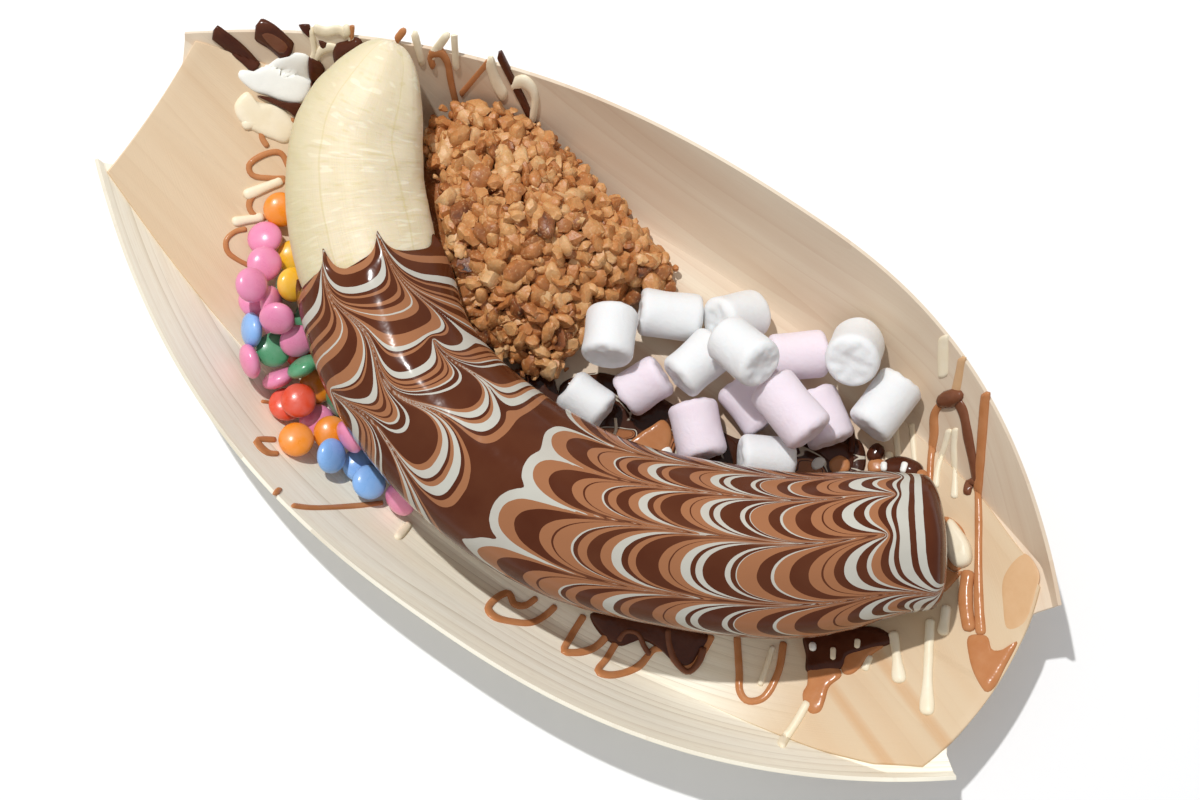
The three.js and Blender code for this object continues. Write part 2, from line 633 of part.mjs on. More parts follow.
// A sugar-coated lentil, with its faces up and down.
function lentilGeometry(growth) {
  const radius = LENTIL.radius + growth;
  const half = LENTIL.thickness / 2 + growth;
  const profile = [
    [0, -half],
    [0.68 * radius, -0.72 * half],
    [radius, 0],
    [0.68 * radius, 0.72 * half],
    [0, half],
  ];
  return new THREE.LatheGeometry(profile.map(([r, z]) => new THREE.Vector2(r, z)), 10).rotateX(Math.PI / 2);
}

// The unit vector at a heading in plan and an elevation above it, both in degrees.
function direction(heading, elevation) {
  const h = THREE.MathUtils.degToRad(heading);
  const e = THREE.MathUtils.degToRad(elevation);
  return new THREE.Vector3(Math.cos(h) * Math.cos(e), Math.sin(h) * Math.cos(e), Math.sin(e));
}

// ---------------------------------------------------------------- assembly

const bananaSplit = new THREE.Group();
const settled = []; // solids that a later piece must stay clear of, with their boxes

function material(colour, roughness) {
  return new THREE.MeshStandardMaterial({ color: colour, roughness, metalness: 0, flatShading: true });
}

function addPiece(name, geometry, colour, roughness) {
  const mesh = new THREE.Mesh(geometry, material(colour, roughness));
  mesh.name = name;
  bananaSplit.add(mesh);
  return mesh;
}

function boxOf(geometry) {
  geometry.computeBoundingBox();
  return geometry.boundingBox;
}

function settle(solid) {
  settled.push({ solid, box: boxOf(geometryFrom(solid)) });
}

// Whether a geometry keeps above the floor and clear of every settled piece.
function isClear(geometry) {
  const { position } = geometry.attributes;
  for (let i = 0; i < position.count; i++) {
    if (position.getZ(i) < floorAt(position.getX(i), position.getY(i))) return false;
  }
  const box = boxOf(geometry);
  const near = settled.filter((other) => other.box.intersectsBox(box));
  if (near.length === 0) return true;
  const solid = solidFrom(geometry);
  return near.every((other) => solid.intersect(other.solid).isEmpty());
}

// The lowest height at which a shape is clear at a place.
function restingHeight(shape, x, y) {
  const clearAt = (z) => isClear(shape.clone().translate(x, y, z));
  let z = floorAt(x, y) - boxOf(shape).min.z * 0.8;
  while (!clearAt(z)) z += RAISE_STEP;
  for (let i = 0; i < RAISE_STEP / LOWER_STEP - 1 && clearAt(z - LOWER_STEP); i++) z -= LOWER_STEP;
  return z;
}

// Lays a piece at its place, or a little to one side where it then lies much lower.
function layDown(mesh, grownGeometry, x, y, axis, sideCost) {
  mesh.quaternion.setFromUnitVectors(new THREE.Vector3(0, 0, 1), axis);
  const shape = grownGeometry.applyQuaternion(mesh.quaternion);
  let best = { x, y, z: restingHeight(shape, x, y) };
  let cost = best.z;
  if (best.z > floorAt(x, y) + boxOf(shape).max.z + 1) {
    for (const aside of SIDE_STEPS) {
      for (let turn = 0; turn < 8; turn++) {
        const px = x + aside * Math.cos((turn * Math.PI) / 4);
        const py = y + aside * Math.sin((turn * Math.PI) / 4);
        const z = restingHeight(shape, px, py);
        if (z + sideCost * aside >= cost) continue;
        best = { x: px, y: py, z };
        cost = z + sideCost * aside;
      }
    }
  }
  mesh.position.set(best.x, best.y, best.z);
  mesh.updateMatrix();
  settle(solidFrom(mesh.geometry.clone().applyMatrix4(mesh.matrix)));
}

const number = (i) => String(i + 1).padStart(2, "0");

const glazeKeepOut = bananaSolid(CLEARANCE + GLAZE_GAP + GLAZE, GLAZE_FROM, 24, 24);
const fruitKeepOut = bananaSolid(CLEARANCE, 0, 20, 24);

const veneer = [wallSolid(FAR), wallSolid(NEAR)].reduce((boat, wall) => boat.add(wall), panelSolid());
const boat = largestBody(
  SAUCE_STROKES.reduce(
    (solid, stroke) => solid.add(strokeSolid(stroke).subtract(glazeKeepOut).subtract(fruitKeepOut)),
    veneer,
  ),
);
addPiece("boat", geometryFrom(boat), COLOURS.veneer, 0.75);
const boatRaised = solidFrom(geometryFrom(boat).translate(0, 0, FLOOR_CLEARANCE));

const banana = bananaSolid(0, 0, 16, 18);
addPiece("banana", geometryFrom(banana), COLOURS.banana, 0.6);
const glaze = solidFrom(glazeGeometry());
addPiece("coating", geometryFrom(glaze), COLOURS.glaze, 0.25);

const pool = largestBody(poolSolid(0).subtract(boatRaised).subtract(glazeKeepOut));
addPiece("sauce_pool", geometryFrom(pool), COLOURS.sauce, 0.25);

const heap = heapSolid([glazeKeepOut, fruitKeepOut, boatRaised, poolSolid(CLEARANCE)]);
addPiece("nut_heap", geometryFrom(heap), COLOURS.nuts, 0.85);

[boat, banana, glaze, pool, heap].forEach(settle);

MARSHMALLOWS.forEach(([colour, x, y, heading, pitch, length, girth], i) => {
  const geometry = marshmallowGeometry(length, girth, 0);
  const mesh = addPiece(`marshmallow_${number(i)}`, geometry, COLOURS[colour], 0.9);
  const grown = marshmallowGeometry(length, girth, CLEARANCE);
  layDown(mesh, grown, x, y, direction(heading, pitch), SIDE_COST.marshmallow);
});

LENTILS.forEach(([colour, x, y, heading, lean], i) => {
  const mesh = addPiece(`candy_${number(i)}`, lentilGeometry(0), LENTIL_COLOURS[colour], 0.3);
  layDown(mesh, lentilGeometry(CLEARANCE), x, y, direction(heading, 90 - lean), SIDE_COST.lentil);
});

export default bananaSplit;
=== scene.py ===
"""Dresses the banana split: veneer boat, half-glazed banana, chopped nuts, marshmallows and candies.

Lengths inside the classes are millimetres in the part's frame, and become metres when a mesh is made.
X runs along the boat, from the bare end of the banana to the glazed end. Y points to the side of the
nuts, which is called the far side, and -Y is the near side. Z = 0 is the flat underside of the boat.
"""

from __future__ import annotations

import logging
import math
from contextlib import contextmanager
from dataclasses import dataclass, field
from enum import Enum
from typing import Any, Callable, Iterator, Sequence

import bpy
import numpy as np
from mathutils import Euler, Matrix, Vector, noise

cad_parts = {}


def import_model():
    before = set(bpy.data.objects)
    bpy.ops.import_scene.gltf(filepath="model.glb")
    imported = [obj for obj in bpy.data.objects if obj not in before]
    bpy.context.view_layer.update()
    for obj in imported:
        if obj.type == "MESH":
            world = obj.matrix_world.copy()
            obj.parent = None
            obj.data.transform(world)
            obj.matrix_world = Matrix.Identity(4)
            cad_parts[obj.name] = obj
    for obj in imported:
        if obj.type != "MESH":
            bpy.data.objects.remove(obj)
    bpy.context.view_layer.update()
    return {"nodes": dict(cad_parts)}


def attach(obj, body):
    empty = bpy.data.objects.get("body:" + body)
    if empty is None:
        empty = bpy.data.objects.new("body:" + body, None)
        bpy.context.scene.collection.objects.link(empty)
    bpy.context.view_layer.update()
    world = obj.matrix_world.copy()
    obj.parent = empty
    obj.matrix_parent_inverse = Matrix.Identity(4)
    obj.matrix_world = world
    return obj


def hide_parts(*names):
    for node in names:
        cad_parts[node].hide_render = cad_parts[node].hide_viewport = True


log = logging.getLogger("banana_split")

MM = 0.001
BODY = "root"

Colour = tuple[float, float, float]
Pair = tuple[float, float]
Plan = Pair
Layer = tuple[float, float, int]
Points = np.ndarray
Piece = bpy.types.Object
Material = bpy.types.Material
Socket = bpy.types.NodeSocket


# ---- numbers and curves


def smoothstep(value: Any, low: float, high: float) -> Any:
    """Rises smoothly from 0 at low to 1 at high."""
    share = np.clip((value - low) / (high - low), 0.0, 1.0)
    return share * share * (3.0 - 2.0 * share)


def mix(first: Any, second: Any, share: Any) -> Any:
    """Goes from the first value to the second."""
    return first + (second - first) * share


def unit(vectors: Points) -> Points:
    """Brings vectors to length one."""
    return vectors / np.linalg.norm(vectors, axis=-1, keepdims=True)


def rumple(points: Points, size: float, seed: int) -> Points:
    """Gives noise from about -1 to 1 at points, with bumps of a size in millimetres, chosen by a seed."""
    places = points.reshape(-1, 3) / size + 17.3 * seed
    return np.array([noise.noise(place) for place in places.tolist()]).reshape(points.shape[:-1])


def dents(points: Points, *layers: Layer) -> Points:
    """Adds up layers of smooth noise, each with a depth, a width and a seed."""
    return sum(depth * rumple(points, size, seed) for depth, size, seed in layers)


class SmoothLine:
    """A centripetal Catmull-Rom curve through points, measured by its length."""

    STEPS = 60

    def __init__(self, through: Sequence[Sequence[float]], closed: bool = False) -> None:
        """Samples the curve.

        Args:
            through: Points in plan or in space; a point in plan lies at height 0.
            closed: Whether the curve comes back to its first point.
        """
        knots = np.zeros((len(through), 3))
        knots[:, : len(through[0])] = through
        share = np.arange(self.STEPS)[:, None] / self.STEPS
        spans = len(knots) if closed else len(knots) - 1
        rows = []
        for first in range(spans):
            around = [self._knot(knots, first + k, closed) for k in range(-1, 3)]
            rows.append(self._span(around, share))
        self.samples = np.vstack([*rows, knots[:1] if closed else knots[-1:]])
        steps = np.linalg.norm(np.diff(self.samples, axis=0), axis=1)
        self.run = np.concatenate([[0.0], np.cumsum(steps)])
        self.length = float(self.run[-1])

    @staticmethod
    def _knot(knots: Points, index: int, closed: bool) -> Points:
        """Finds a point of the curve, also one before its start or after its end.

        Args:
            knots: The points.
            index: Which of them.
            closed: Whether the curve comes back to its first point.

        Returns:
            The point.
        """
        if closed:
            return knots[index % len(knots)]
        if index < 0:
            return 2 * knots[0] - knots[1]
        if index >= len(knots):
            return 2 * knots[-1] - knots[-2]
        return knots[index]

    @staticmethod
    def _span(knots: Sequence[Points], share: Points) -> Points:
        """Samples the span between the second and third of four points.

        Args:
            knots: The four points.
            share: Shares of the way, as a column.

        Returns:
            The samples.
        """
        before, first, second, after = knots
        d0, d1, d2 = (np.linalg.norm(b - a) ** 0.5 for a, b in zip(knots, knots[1:]))
        start = d1 * ((first - before) / d0 - (second - before) / (d0 + d1) + (second - first) / d1)
        end = d1 * ((second - first) / d1 - (after - first) / (d1 + d2) + (after - second) / d2)
        square = -3 * first + 3 * second - 2 * start - end
        cube = 2 * first - 2 * second + start + end
        return first + start * share + square * share**2 + cube * share**3

    def at(self, distance: Any) -> Points:
        """Finds the points at distances from the start."""
        distance = np.asarray(distance, float)
        return np.stack([np.interp(distance, self.run, self.samples[:, k]) for k in range(3)], axis=-1)

    def tangent(self, distance: Any) -> Points:
        """Finds the direction at distances from the start.

        Args:
            distance: Millimetres along the curve.

        Returns:
            Directions of length one.
        """
        distance = np.asarray(distance, float)
        step = min(0.3, self.length / 20)
        ahead = np.minimum(distance + step, self.length)
        behind = np.maximum(distance - step, 0.0)
        return unit(self.at(ahead) - self.at(behind))


# ---- mesh work


def select_only(*pieces: Piece) -> None:
    """Selects these pieces alone, and makes the first the active one.

    Args:
        *pieces: The pieces.
    """
    bpy.ops.object.select_all(action="DESELECT")
    for piece in pieces:
        piece.select_set(True)
    bpy.context.view_layer.objects.active = pieces[0]


def put_in_scene(name: str, data: Any) -> Piece:
    """Makes an object of a mesh, a light or a camera.

    Args:
        name: Its name.
        data: What it shows.

    Returns:
        The object.
    """
    made = bpy.data.objects.new(name, data)
    bpy.context.scene.collection.objects.link(made)
    return made


@contextmanager
def editing(piece: Piece, whole: bool = False) -> Iterator[None]:
    """Keeps a piece in edit mode for the length of a with block.

    Args:
        piece: The piece.
        whole: Whether all of it is selected to begin with.

    Yields:
        Nothing.
    """
    select_only(piece)
    bpy.ops.object.mode_set(mode="EDIT")
    if whole:
        bpy.ops.mesh.select_all(action="SELECT")
    yield
    bpy.ops.object.mode_set(mode="OBJECT")


def name_piece(name: str) -> Piece:
    """Names the primitive that was just added.

    Args:
        name: Its new name, and its mesh's.

    Returns:
        The piece.
    """
    piece = bpy.context.active_object
    piece.name = name
    piece.data.name = name
    return piece


def read_vertices(piece: Piece, key: str) -> Points:
    """Reads a vector at each vertex of a piece.

    Args:
        piece: The piece.
        key: Blender's name of the vector.

    Returns:
        The vectors, one in each row.
    """
    flat = np.empty(len(piece.data.vertices) * 3, np.float32)
    piece.data.vertices.foreach_get(key, flat)
    return flat.reshape(-1, 3).astype(float)


def coordinates_of(piece: Piece) -> Points:
    """Reads the places of a piece's vertices, in millimetres."""
    return read_vertices(piece, "co") / MM


def place_vertices(piece: Piece, points: Points) -> None:
    """Moves a piece's vertices to points in millimetres."""
    piece.data.vertices.foreach_set("co", (points.reshape(-1) * MM).astype(np.float32))
    piece.data.update()


def add_grid(name: str, points: Points) -> Piece:
    """Adds a grid and brings its vertices to their places.

    Args:
        name: The piece's name.
        points: Places in millimetres, rows by columns by three.

    Returns:
        The new piece.
    """
    rows, columns, _ = points.shape
    bpy.ops.object.select_all(action="DESELECT")
    bpy.ops.mesh.primitive_grid_add(x_subdivisions=columns - 1, y_subdivisions=rows - 1, size=1.0)
    piece = name_piece(name)
    place_vertices(piece, points)
    return piece


def set_numbers(piece: Piece, name: str, values: Points) -> None:
    """Stores a number at each vertex."""
    attribute = piece.data.attributes.new(name, "FLOAT", "POINT")
    attribute.data.foreach_set("value", np.ascontiguousarray(values, np.float32).reshape(-1))


def set_vectors(piece: Piece, name: str, values: Points) -> None:
    """Stores a vector at each vertex."""
    attribute = piece.data.attributes.new(name, "FLOAT_VECTOR", "POINT")
    attribute.data.foreach_set("vector", np.ascontiguousarray(values, np.float32).reshape(-1))


def close_up(places: Points, ends: bool = False) -> Points:
    """Closes a grid that runs round a piece, so that its last column meets its first.

    Args:
        places: The grid's places, row by row.
        ends: Whether the first and the last row draw together into a point.

    Returns:
        The same places, changed.
    """
    if ends:
        places[[0, -1]] = places[[0, -1]].mean(axis=1, keepdims=True)
    places[:, -1] = places[:, 0]
    return places


def weld(piece: Piece) -> None:
    """Merges the doubles along a closed piece's seams and poles, and turns its faces outwards.

    Args:
        piece: The piece.
    """
    with editing(piece, whole=True):
        bpy.ops.mesh.remove_doubles(threshold=0.002 * MM)
        bpy.ops.mesh.normals_make_consistent(inside=False)


def add_body(name: str, places: Points, angle: float = 180.0, **numbers: Points) -> Piece:
    """Adds a closed grid as a smooth body.

    Args:
        name: The piece's name.
        places: Places in millimetres, rows by columns by three, already closed up.
        angle: Degrees from which an edge stays sharp.
        **numbers: Numbers to store at the vertices, by name.

    Returns:
        The new piece.
    """
    body = add_grid(name, places)
    for key, values in numbers.items():
        set_numbers(body, key, values)
    weld(body)
    shade(body, angle)
    return body


def apply_modifier(piece: Piece, kind: str, **settings: Any) -> None:
    """Adds a modifier to a piece and applies it.

    Args:
        piece: The piece.
        kind: Blender's name of the modifier.
        **settings: The modifier's own settings.
    """
    select_only(piece)
    modifier = piece.modifiers.new(kind.lower(), kind)
    for key, value in settings.items():
        setattr(modifier, key, value)
    bpy.ops.object.modifier_apply(modifier=modifier.name)


def shade(piece: Piece, angle: float = 180.0) -> None:
    """Shades a piece smooth, apart from edges sharper than an angle in degrees."""
    select_only(piece)
    bpy.ops.object.shade_smooth_by_angle(angle=math.radians(angle))


def join(name: str, parts: Sequence[Piece]) -> Piece:
    """Joins pieces into one.

    Args:
        name: The new piece's name.
        parts: The pieces.

    Returns:
        The new piece.
    """
    select_only(*parts)
    if len(parts) > 1:
        bpy.ops.object.join()
    return name_piece(name)


def hand_over(piece: Piece, material: Material, slot: str, *nodes: str) -> None:
    """Gives a piece its finish and body, and reports it.

    Args:
        piece: The finished piece.
        material: Its material.
        slot: The name of the record's material slot; not used.
        *nodes: The solids that it stands for.
    """
    piece.data.materials.clear()
    piece.data.materials.append(material)
    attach(piece, BODY)
    if nodes:
        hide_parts(*nodes)
    log.info("%s: %d faces", piece.name, len(piece.data.polygons))


# ---- shader work


def srgb(red: float, green: float, blue: float) -> Colour:
    """Turns screen values from 0 to 255 into linear ones."""
    shares = [value / 255 for value in (red, green, blue)]
    return tuple(s / 12.92 if s <= 0.04045 else ((s + 0.055) / 1.055) ** 2.4 for s in shares)


class Value:
    """A number socket of a node tree; arithmetic on it adds Math nodes."""

    def __init__(self, shader: Shader, socket: Socket) -> None:
        """Wraps a socket of a shader."""
        self.shader = shader
        self.socket = socket

    def _math(self, operation: str, *operands: Any, clamp: bool = False) -> Value:
        """Adds a Math node for an operation on operands.

        Args:
            operation: Blender's name of it.
            *operands: Numbers, wrapped values or sockets.
            clamp: Whether the result keeps within 0 and 1.

        Returns:
            The result.
        """
        settings = {"operation": operation, "use_clamp": clamp}
        node = self.shader.node("Math", settings, dict(enumerate(operands)))
        return Value(self.shader, node.outputs[0])

    def __add__(self, other: Any) -> Value:
        """Adds."""
        return self._math("ADD", self, other)

    __radd__ = __add__

    def __mul__(self, other: Any) -> Value:
        """Multiplies."""
        return self._math("MULTIPLY", self, other)

    __rmul__ = __mul__

    def __sub__(self, other: Any) -> Value:
        """Subtracts."""
        return self._math("SUBTRACT", self, other)

    def __rsub__(self, other: Any) -> Value:
        """Subtracts this from a number."""
        return self._math("SUBTRACT", other, self)

    def __truediv__(self, other: Any) -> Value:
        """Divides."""
        return self._math("DIVIDE", self, other)

    def __pow__(self, other: Any) -> Value:
        """Raises to a power."""
        return self._math("POWER", self, other)

    def fraction(self) -> Value:
        """Gives the part after the point."""
        return self._math("FRACT", self)

    def above(self, limit: float) -> Value:
        """Gives 1 above a limit and 0 below."""
        return self._math("GREATER_THAN", self, limit)

    def between(self, low: float, high: float) -> Value:
        """Rises from 0 at low to 1 at high, and keeps within them."""
        return self._math("MULTIPLY", self - low, 1.0 / (high - low), clamp=True)


class Shader:
    """A material's node tree in the making."""

    def __init__(self, name: str) -> None:
        """Starts an empty material.

        Args:
            name: The material's name.
        """
        self.material = bpy.data.materials.new(name)
        self.material.use_nodes = True
        self.tree = self.material.node_tree
        self.tree.nodes.clear()

    def node(self, kind: str, settings: dict[str, Any] | None = None, inputs: dict | None = None) -> Any:
        """Adds a node.

        Args:
            kind: The node's type, without its usual prefix.
            settings: Properties that are set first; "stops" fills a colour ramp.
            inputs: Numbers, colours, wrapped values or sockets, by socket name or index.

        Returns:
            The new node.
        """
        made = self.tree.nodes.new("ShaderNode" + kind)
        for key, value in (settings or {}).items():
            if key == "stops":
                self._fill_ramp(made.color_ramp, value)
            else:
                setattr(made, key, value)
        for key, value in (inputs or {}).items():
            if isinstance(value, Value):
                value = value.socket
            if isinstance(value, Socket):
                self.tree.links.new(value, made.inputs[key])
            elif isinstance(value, tuple) and len(value) == 3 and made.inputs[key].type == "RGBA":
                made.inputs[key].default_value = (*value, 1.0)
            else:
                made.inputs[key].default_value = value
        return made

    @staticmethod
    def _fill_ramp(ramp: bpy.types.ColorRamp, stops: Sequence[tuple[float, Colour]]) -> None:
        """Puts stops into a colour ramp.

        Args:
            ramp: The ramp.
            stops: Where each colour starts, from 0 to 1, and the colour.
        """
        for place, _ in stops[2:]:
            ramp.elements.new(place)
        while len(ramp.elements) > len(stops):
            ramp.elements.remove(ramp.elements[-1])
        for element, (place, colour) in zip(ramp.elements, stops):
            element.position = place
            element.color = (*colour, 1.0)

    def place(self) -> Socket:
        """Gives the place on the piece, in metres."""
        return self.node("TexCoord").outputs["Object"]

    def number(self, attribute: str) -> Value:
        """Reads a number stored at the vertices."""
        return Value(self, self.node("Attribute", {"attribute_name": attribute}).outputs["Fac"])

    def vector(self, attribute: str) -> Socket:
        """Reads a vector stored at the vertices."""
        return self.node("Attribute", {"attribute_name": attribute}).outputs["Vector"]

    def across(self, vector: Socket) -> Value:
        """Takes the second number of a vector."""
        return Value(self, self.node("SeparateXYZ", None, {"Vector": vector}).outputs[1])

    def stretch(self, vector: Socket, scale: Colour, shift: Colour = (0.0, 0.0, 0.0)) -> Any:
        """Scales and shifts a vector."""
        node = self.node("Mapping", None, {"Vector": vector, "Scale": scale, "Location": shift})
        return node.outputs[0]

    def noise(self, scale: float, detail: float, warp: float = 0.0, at: Socket | None = None) -> Value:
        """Adds a noise pattern.

        Args:
            scale: Bumps in a metre, or in a unit of the vector.
            detail: Finer layers.
            warp: Distortion.
            at: A vector at which it is read instead of the place on the piece.

        Returns:
            Values around 0.5.
        """
        where = self.place() if at is None else at
        inputs = {"Vector": where, "Scale": scale, "Detail": detail, "Distortion": warp}
        return Value(self, self.node("TexNoise", None, inputs).outputs["Fac"])

    def ramp(self, factor: Value, stops: Sequence[tuple[float, Colour]], crisp: bool = False) -> Any:
        """Turns a factor into a colour along stops.

        Args:
            factor: The factor, from 0 to 1.
            stops: Where each colour starts, and the colour.
            crisp: Whether the colours stop sharply instead of running into each other.

        Returns:
            The colour.
        """
        node = self.node("ValToRGB", {"stops": stops}, {"Fac": factor})
        node.color_ramp.interpolation = "CONSTANT" if crisp else "LINEAR"
        return node.outputs["Color"]

    def blend(self, factor: Any, first: Any, second: Any) -> Socket:
        """Mixes two colours."""
        settings = {"data_type": "RGBA", "blend_type": "MIX"}
        return self.node("Mix", settings, {0: factor, 6: first, 7: second}).outputs[2]

    def bump(self, height: Value, depth: float) -> Socket:
        """Turns a height from 0 to 1 into a normal, for relief of a depth in millimetres."""
        inputs = {"Height": height, "Distance": depth * MM, "Strength": 1.0}
        return self.node("Bump", None, inputs).outputs[0]

    def finish(self, colour: Any, roughness: Any, **others: Any) -> Material:
        """Closes the tree with its surface.

        Args:
            colour: Base colour.
            roughness: Roughness.
            **others: Other sockets of the surface, with _ for a space in the name.

        Returns:
            The finished material.
        """
        inputs = {"Base Color": colour, "Roughness": roughness}
        inputs.update({key.replace("_", " "): value for key, value in others.items()})
        surface = self.node("BsdfPrincipled", None, inputs)
        self.node("OutputMaterial", None, {"Surface": surface.outputs[0]})
        return self.material


# ---- the boat


@dataclass(frozen=True)
class Half:
    """One end of a breadth curve: its reach from the widest place, and the value there."""

    reach: float
    end: float


@dataclass(frozen=True)
class Breadth:
    """A half breadth along the boat, widest at one station."""

    at: float
    peak: float
    power: float
    left: Half
    right: Half

    def __call__(self, x: Points) -> Points:
        """Gives the half breadth at stations.

        Args:
            x: The stations.

        Returns:
            The half breadths.
        """
        left, right = (
            half.end + (self.peak - half.end) * (1 - (np.abs(x - self.at) / half.reach) ** self.power)
            for half in (self.left, self.right)
        )
        return np.where(x < self.at, left, right)


@dataclass(frozen=True)
class BoatForm:
    """The form of the veneer's upper face."""

    veneer: float = 0.9
    left_fold: Pair = (50.0, 80.0)
    right_fold: Pair = (54.0, 84.0)
    past_rim: float = 1.2
    probe: float = 0.5
    rim_height: float = 24.0
    rim_rise: float = 0.8
    flap_reach: float = 108.0
    flat_from: float = 50.0
    flat_to: float = 56.0
    flap_rise: Pair = (20.5, 19.5)
    flap_curve: float = 1.4
    flap_dish: float = 2.5
    beyond_slope: float = 0.2
    wall_curve: Pair = (1.5, 1.05)
    rim_far: Breadth = Breadth(22, 60.7, 2.4, Half(134, 17.5), Half(91, 18))
    rim_near: Breadth = Breadth(4, 55.5, 2.4, Half(116, 14), Half(108, 20.5))
    fold_far: Breadth = Breadth(16, 44, 2, Half(125, 17.5), Half(90, 25.7))
    fold_near: Breadth = Breadth(16, 40.5, 2, Half(123, 16.5), Half(90, 26))

    def rim(self, x: Points, side: Any) -> Points:
        """Gives the rim's half breadth on a side, 1 for far and -1 for near."""
        return np.where(np.asarray(side) > 0, self.rim_far(x), self.rim_near(x))

    def fold(self, x: Points, side: Any) -> Points:
        """Gives the half breadth of the fold between floor and wall, on a side."""
        breadth = np.where(np.asarray(side) > 0, self.fold_far(x), self.fold_near(x))
        return np.minimum(breadth, self.rim(x, side) - 1.0)

    def folded(self, x: Points) -> Points:
        """Gives 0 where the wall bends up out of the floor and 1 where an end flap lies over it."""
        return np.where(x < 0, smoothstep(-x, *self.left_fold), smoothstep(x, *self.right_fold))

    def keel(self, x: Points) -> Points:
        """Gives the height of the floor along the middle.

        Args:
            x: Stations.

        Returns:
            The heights.
        """
        start = np.where(x < 0, self.flat_from, self.flat_to)
        rise = np.where(x < 0, *self.flap_rise)
        along = (np.minimum(np.abs(x), self.flap_reach) - start) / (self.flap_reach - start)
        beyond = np.maximum(np.abs(x) - self.flap_reach, 0.0) * self.beyond_slope
        return self.veneer + rise * np.maximum(along, 0.0) ** self.flap_curve + beyond

    def panel(self, x: Points, y: Points) -> Points:
        """Gives the height of the floor strip and its flaps."""
        fold = self.fold(x, y)
        return self.keel(x) + self.flap_dish * self.folded(x) * (np.minimum(np.abs(y), fold) / fold) ** 2

    def wall(self, x: Points, y: Points) -> Points:
        """Gives the height of a wall.

        Args:
            x: Stations.
            y: Places across.

        Returns:
            The heights.
        """
        fold = self.fold(x, y)
        folded = self.folded(x)
        foot = self.keel(x) + (self.flap_dish - self.veneer) * folded
        rise = self.rim_height + self.rim_rise * folded - foot
        out = np.maximum(np.abs(y) - fold, 0.0) / (self.rim(x, y) - fold)
        return foot + rise * np.minimum(out, self.past_rim) ** mix(*self.wall_curve, folded)

    def floor(self, x: Points, y: Points) -> Points:
        """Gives the height of whatever veneer lies on top."""
        return np.where(np.abs(y) <= self.fold(x, y), self.panel(x, y), self.wall(x, y))

    def normal(self, x: Points, y: Points) -> Points:
        """Gives the direction square to the veneer.

        Args:
            x: Stations.
            y: Places across.

        Returns:
            Directions of length one.
        """
        step = self.probe
        dx = (self.floor(x + step, y) - self.floor(x - step, y)) / (2 * step)
        dy = (self.floor(x, y + step) - self.floor(x, y - step)) / (2 * step)
        return unit(np.stack([-dx, -dy, np.ones_like(dx)], axis=-1))


@dataclass(frozen=True)
class Grain:
    """How a sheet of veneer looks: its colours, the strength of its bands and rings, and their spacing."""

    ground: Colour
    band: Colour
    line: Colour
    bands: float
    rings: float
    spacing: float
    streaks: tuple[float, ...] = ()


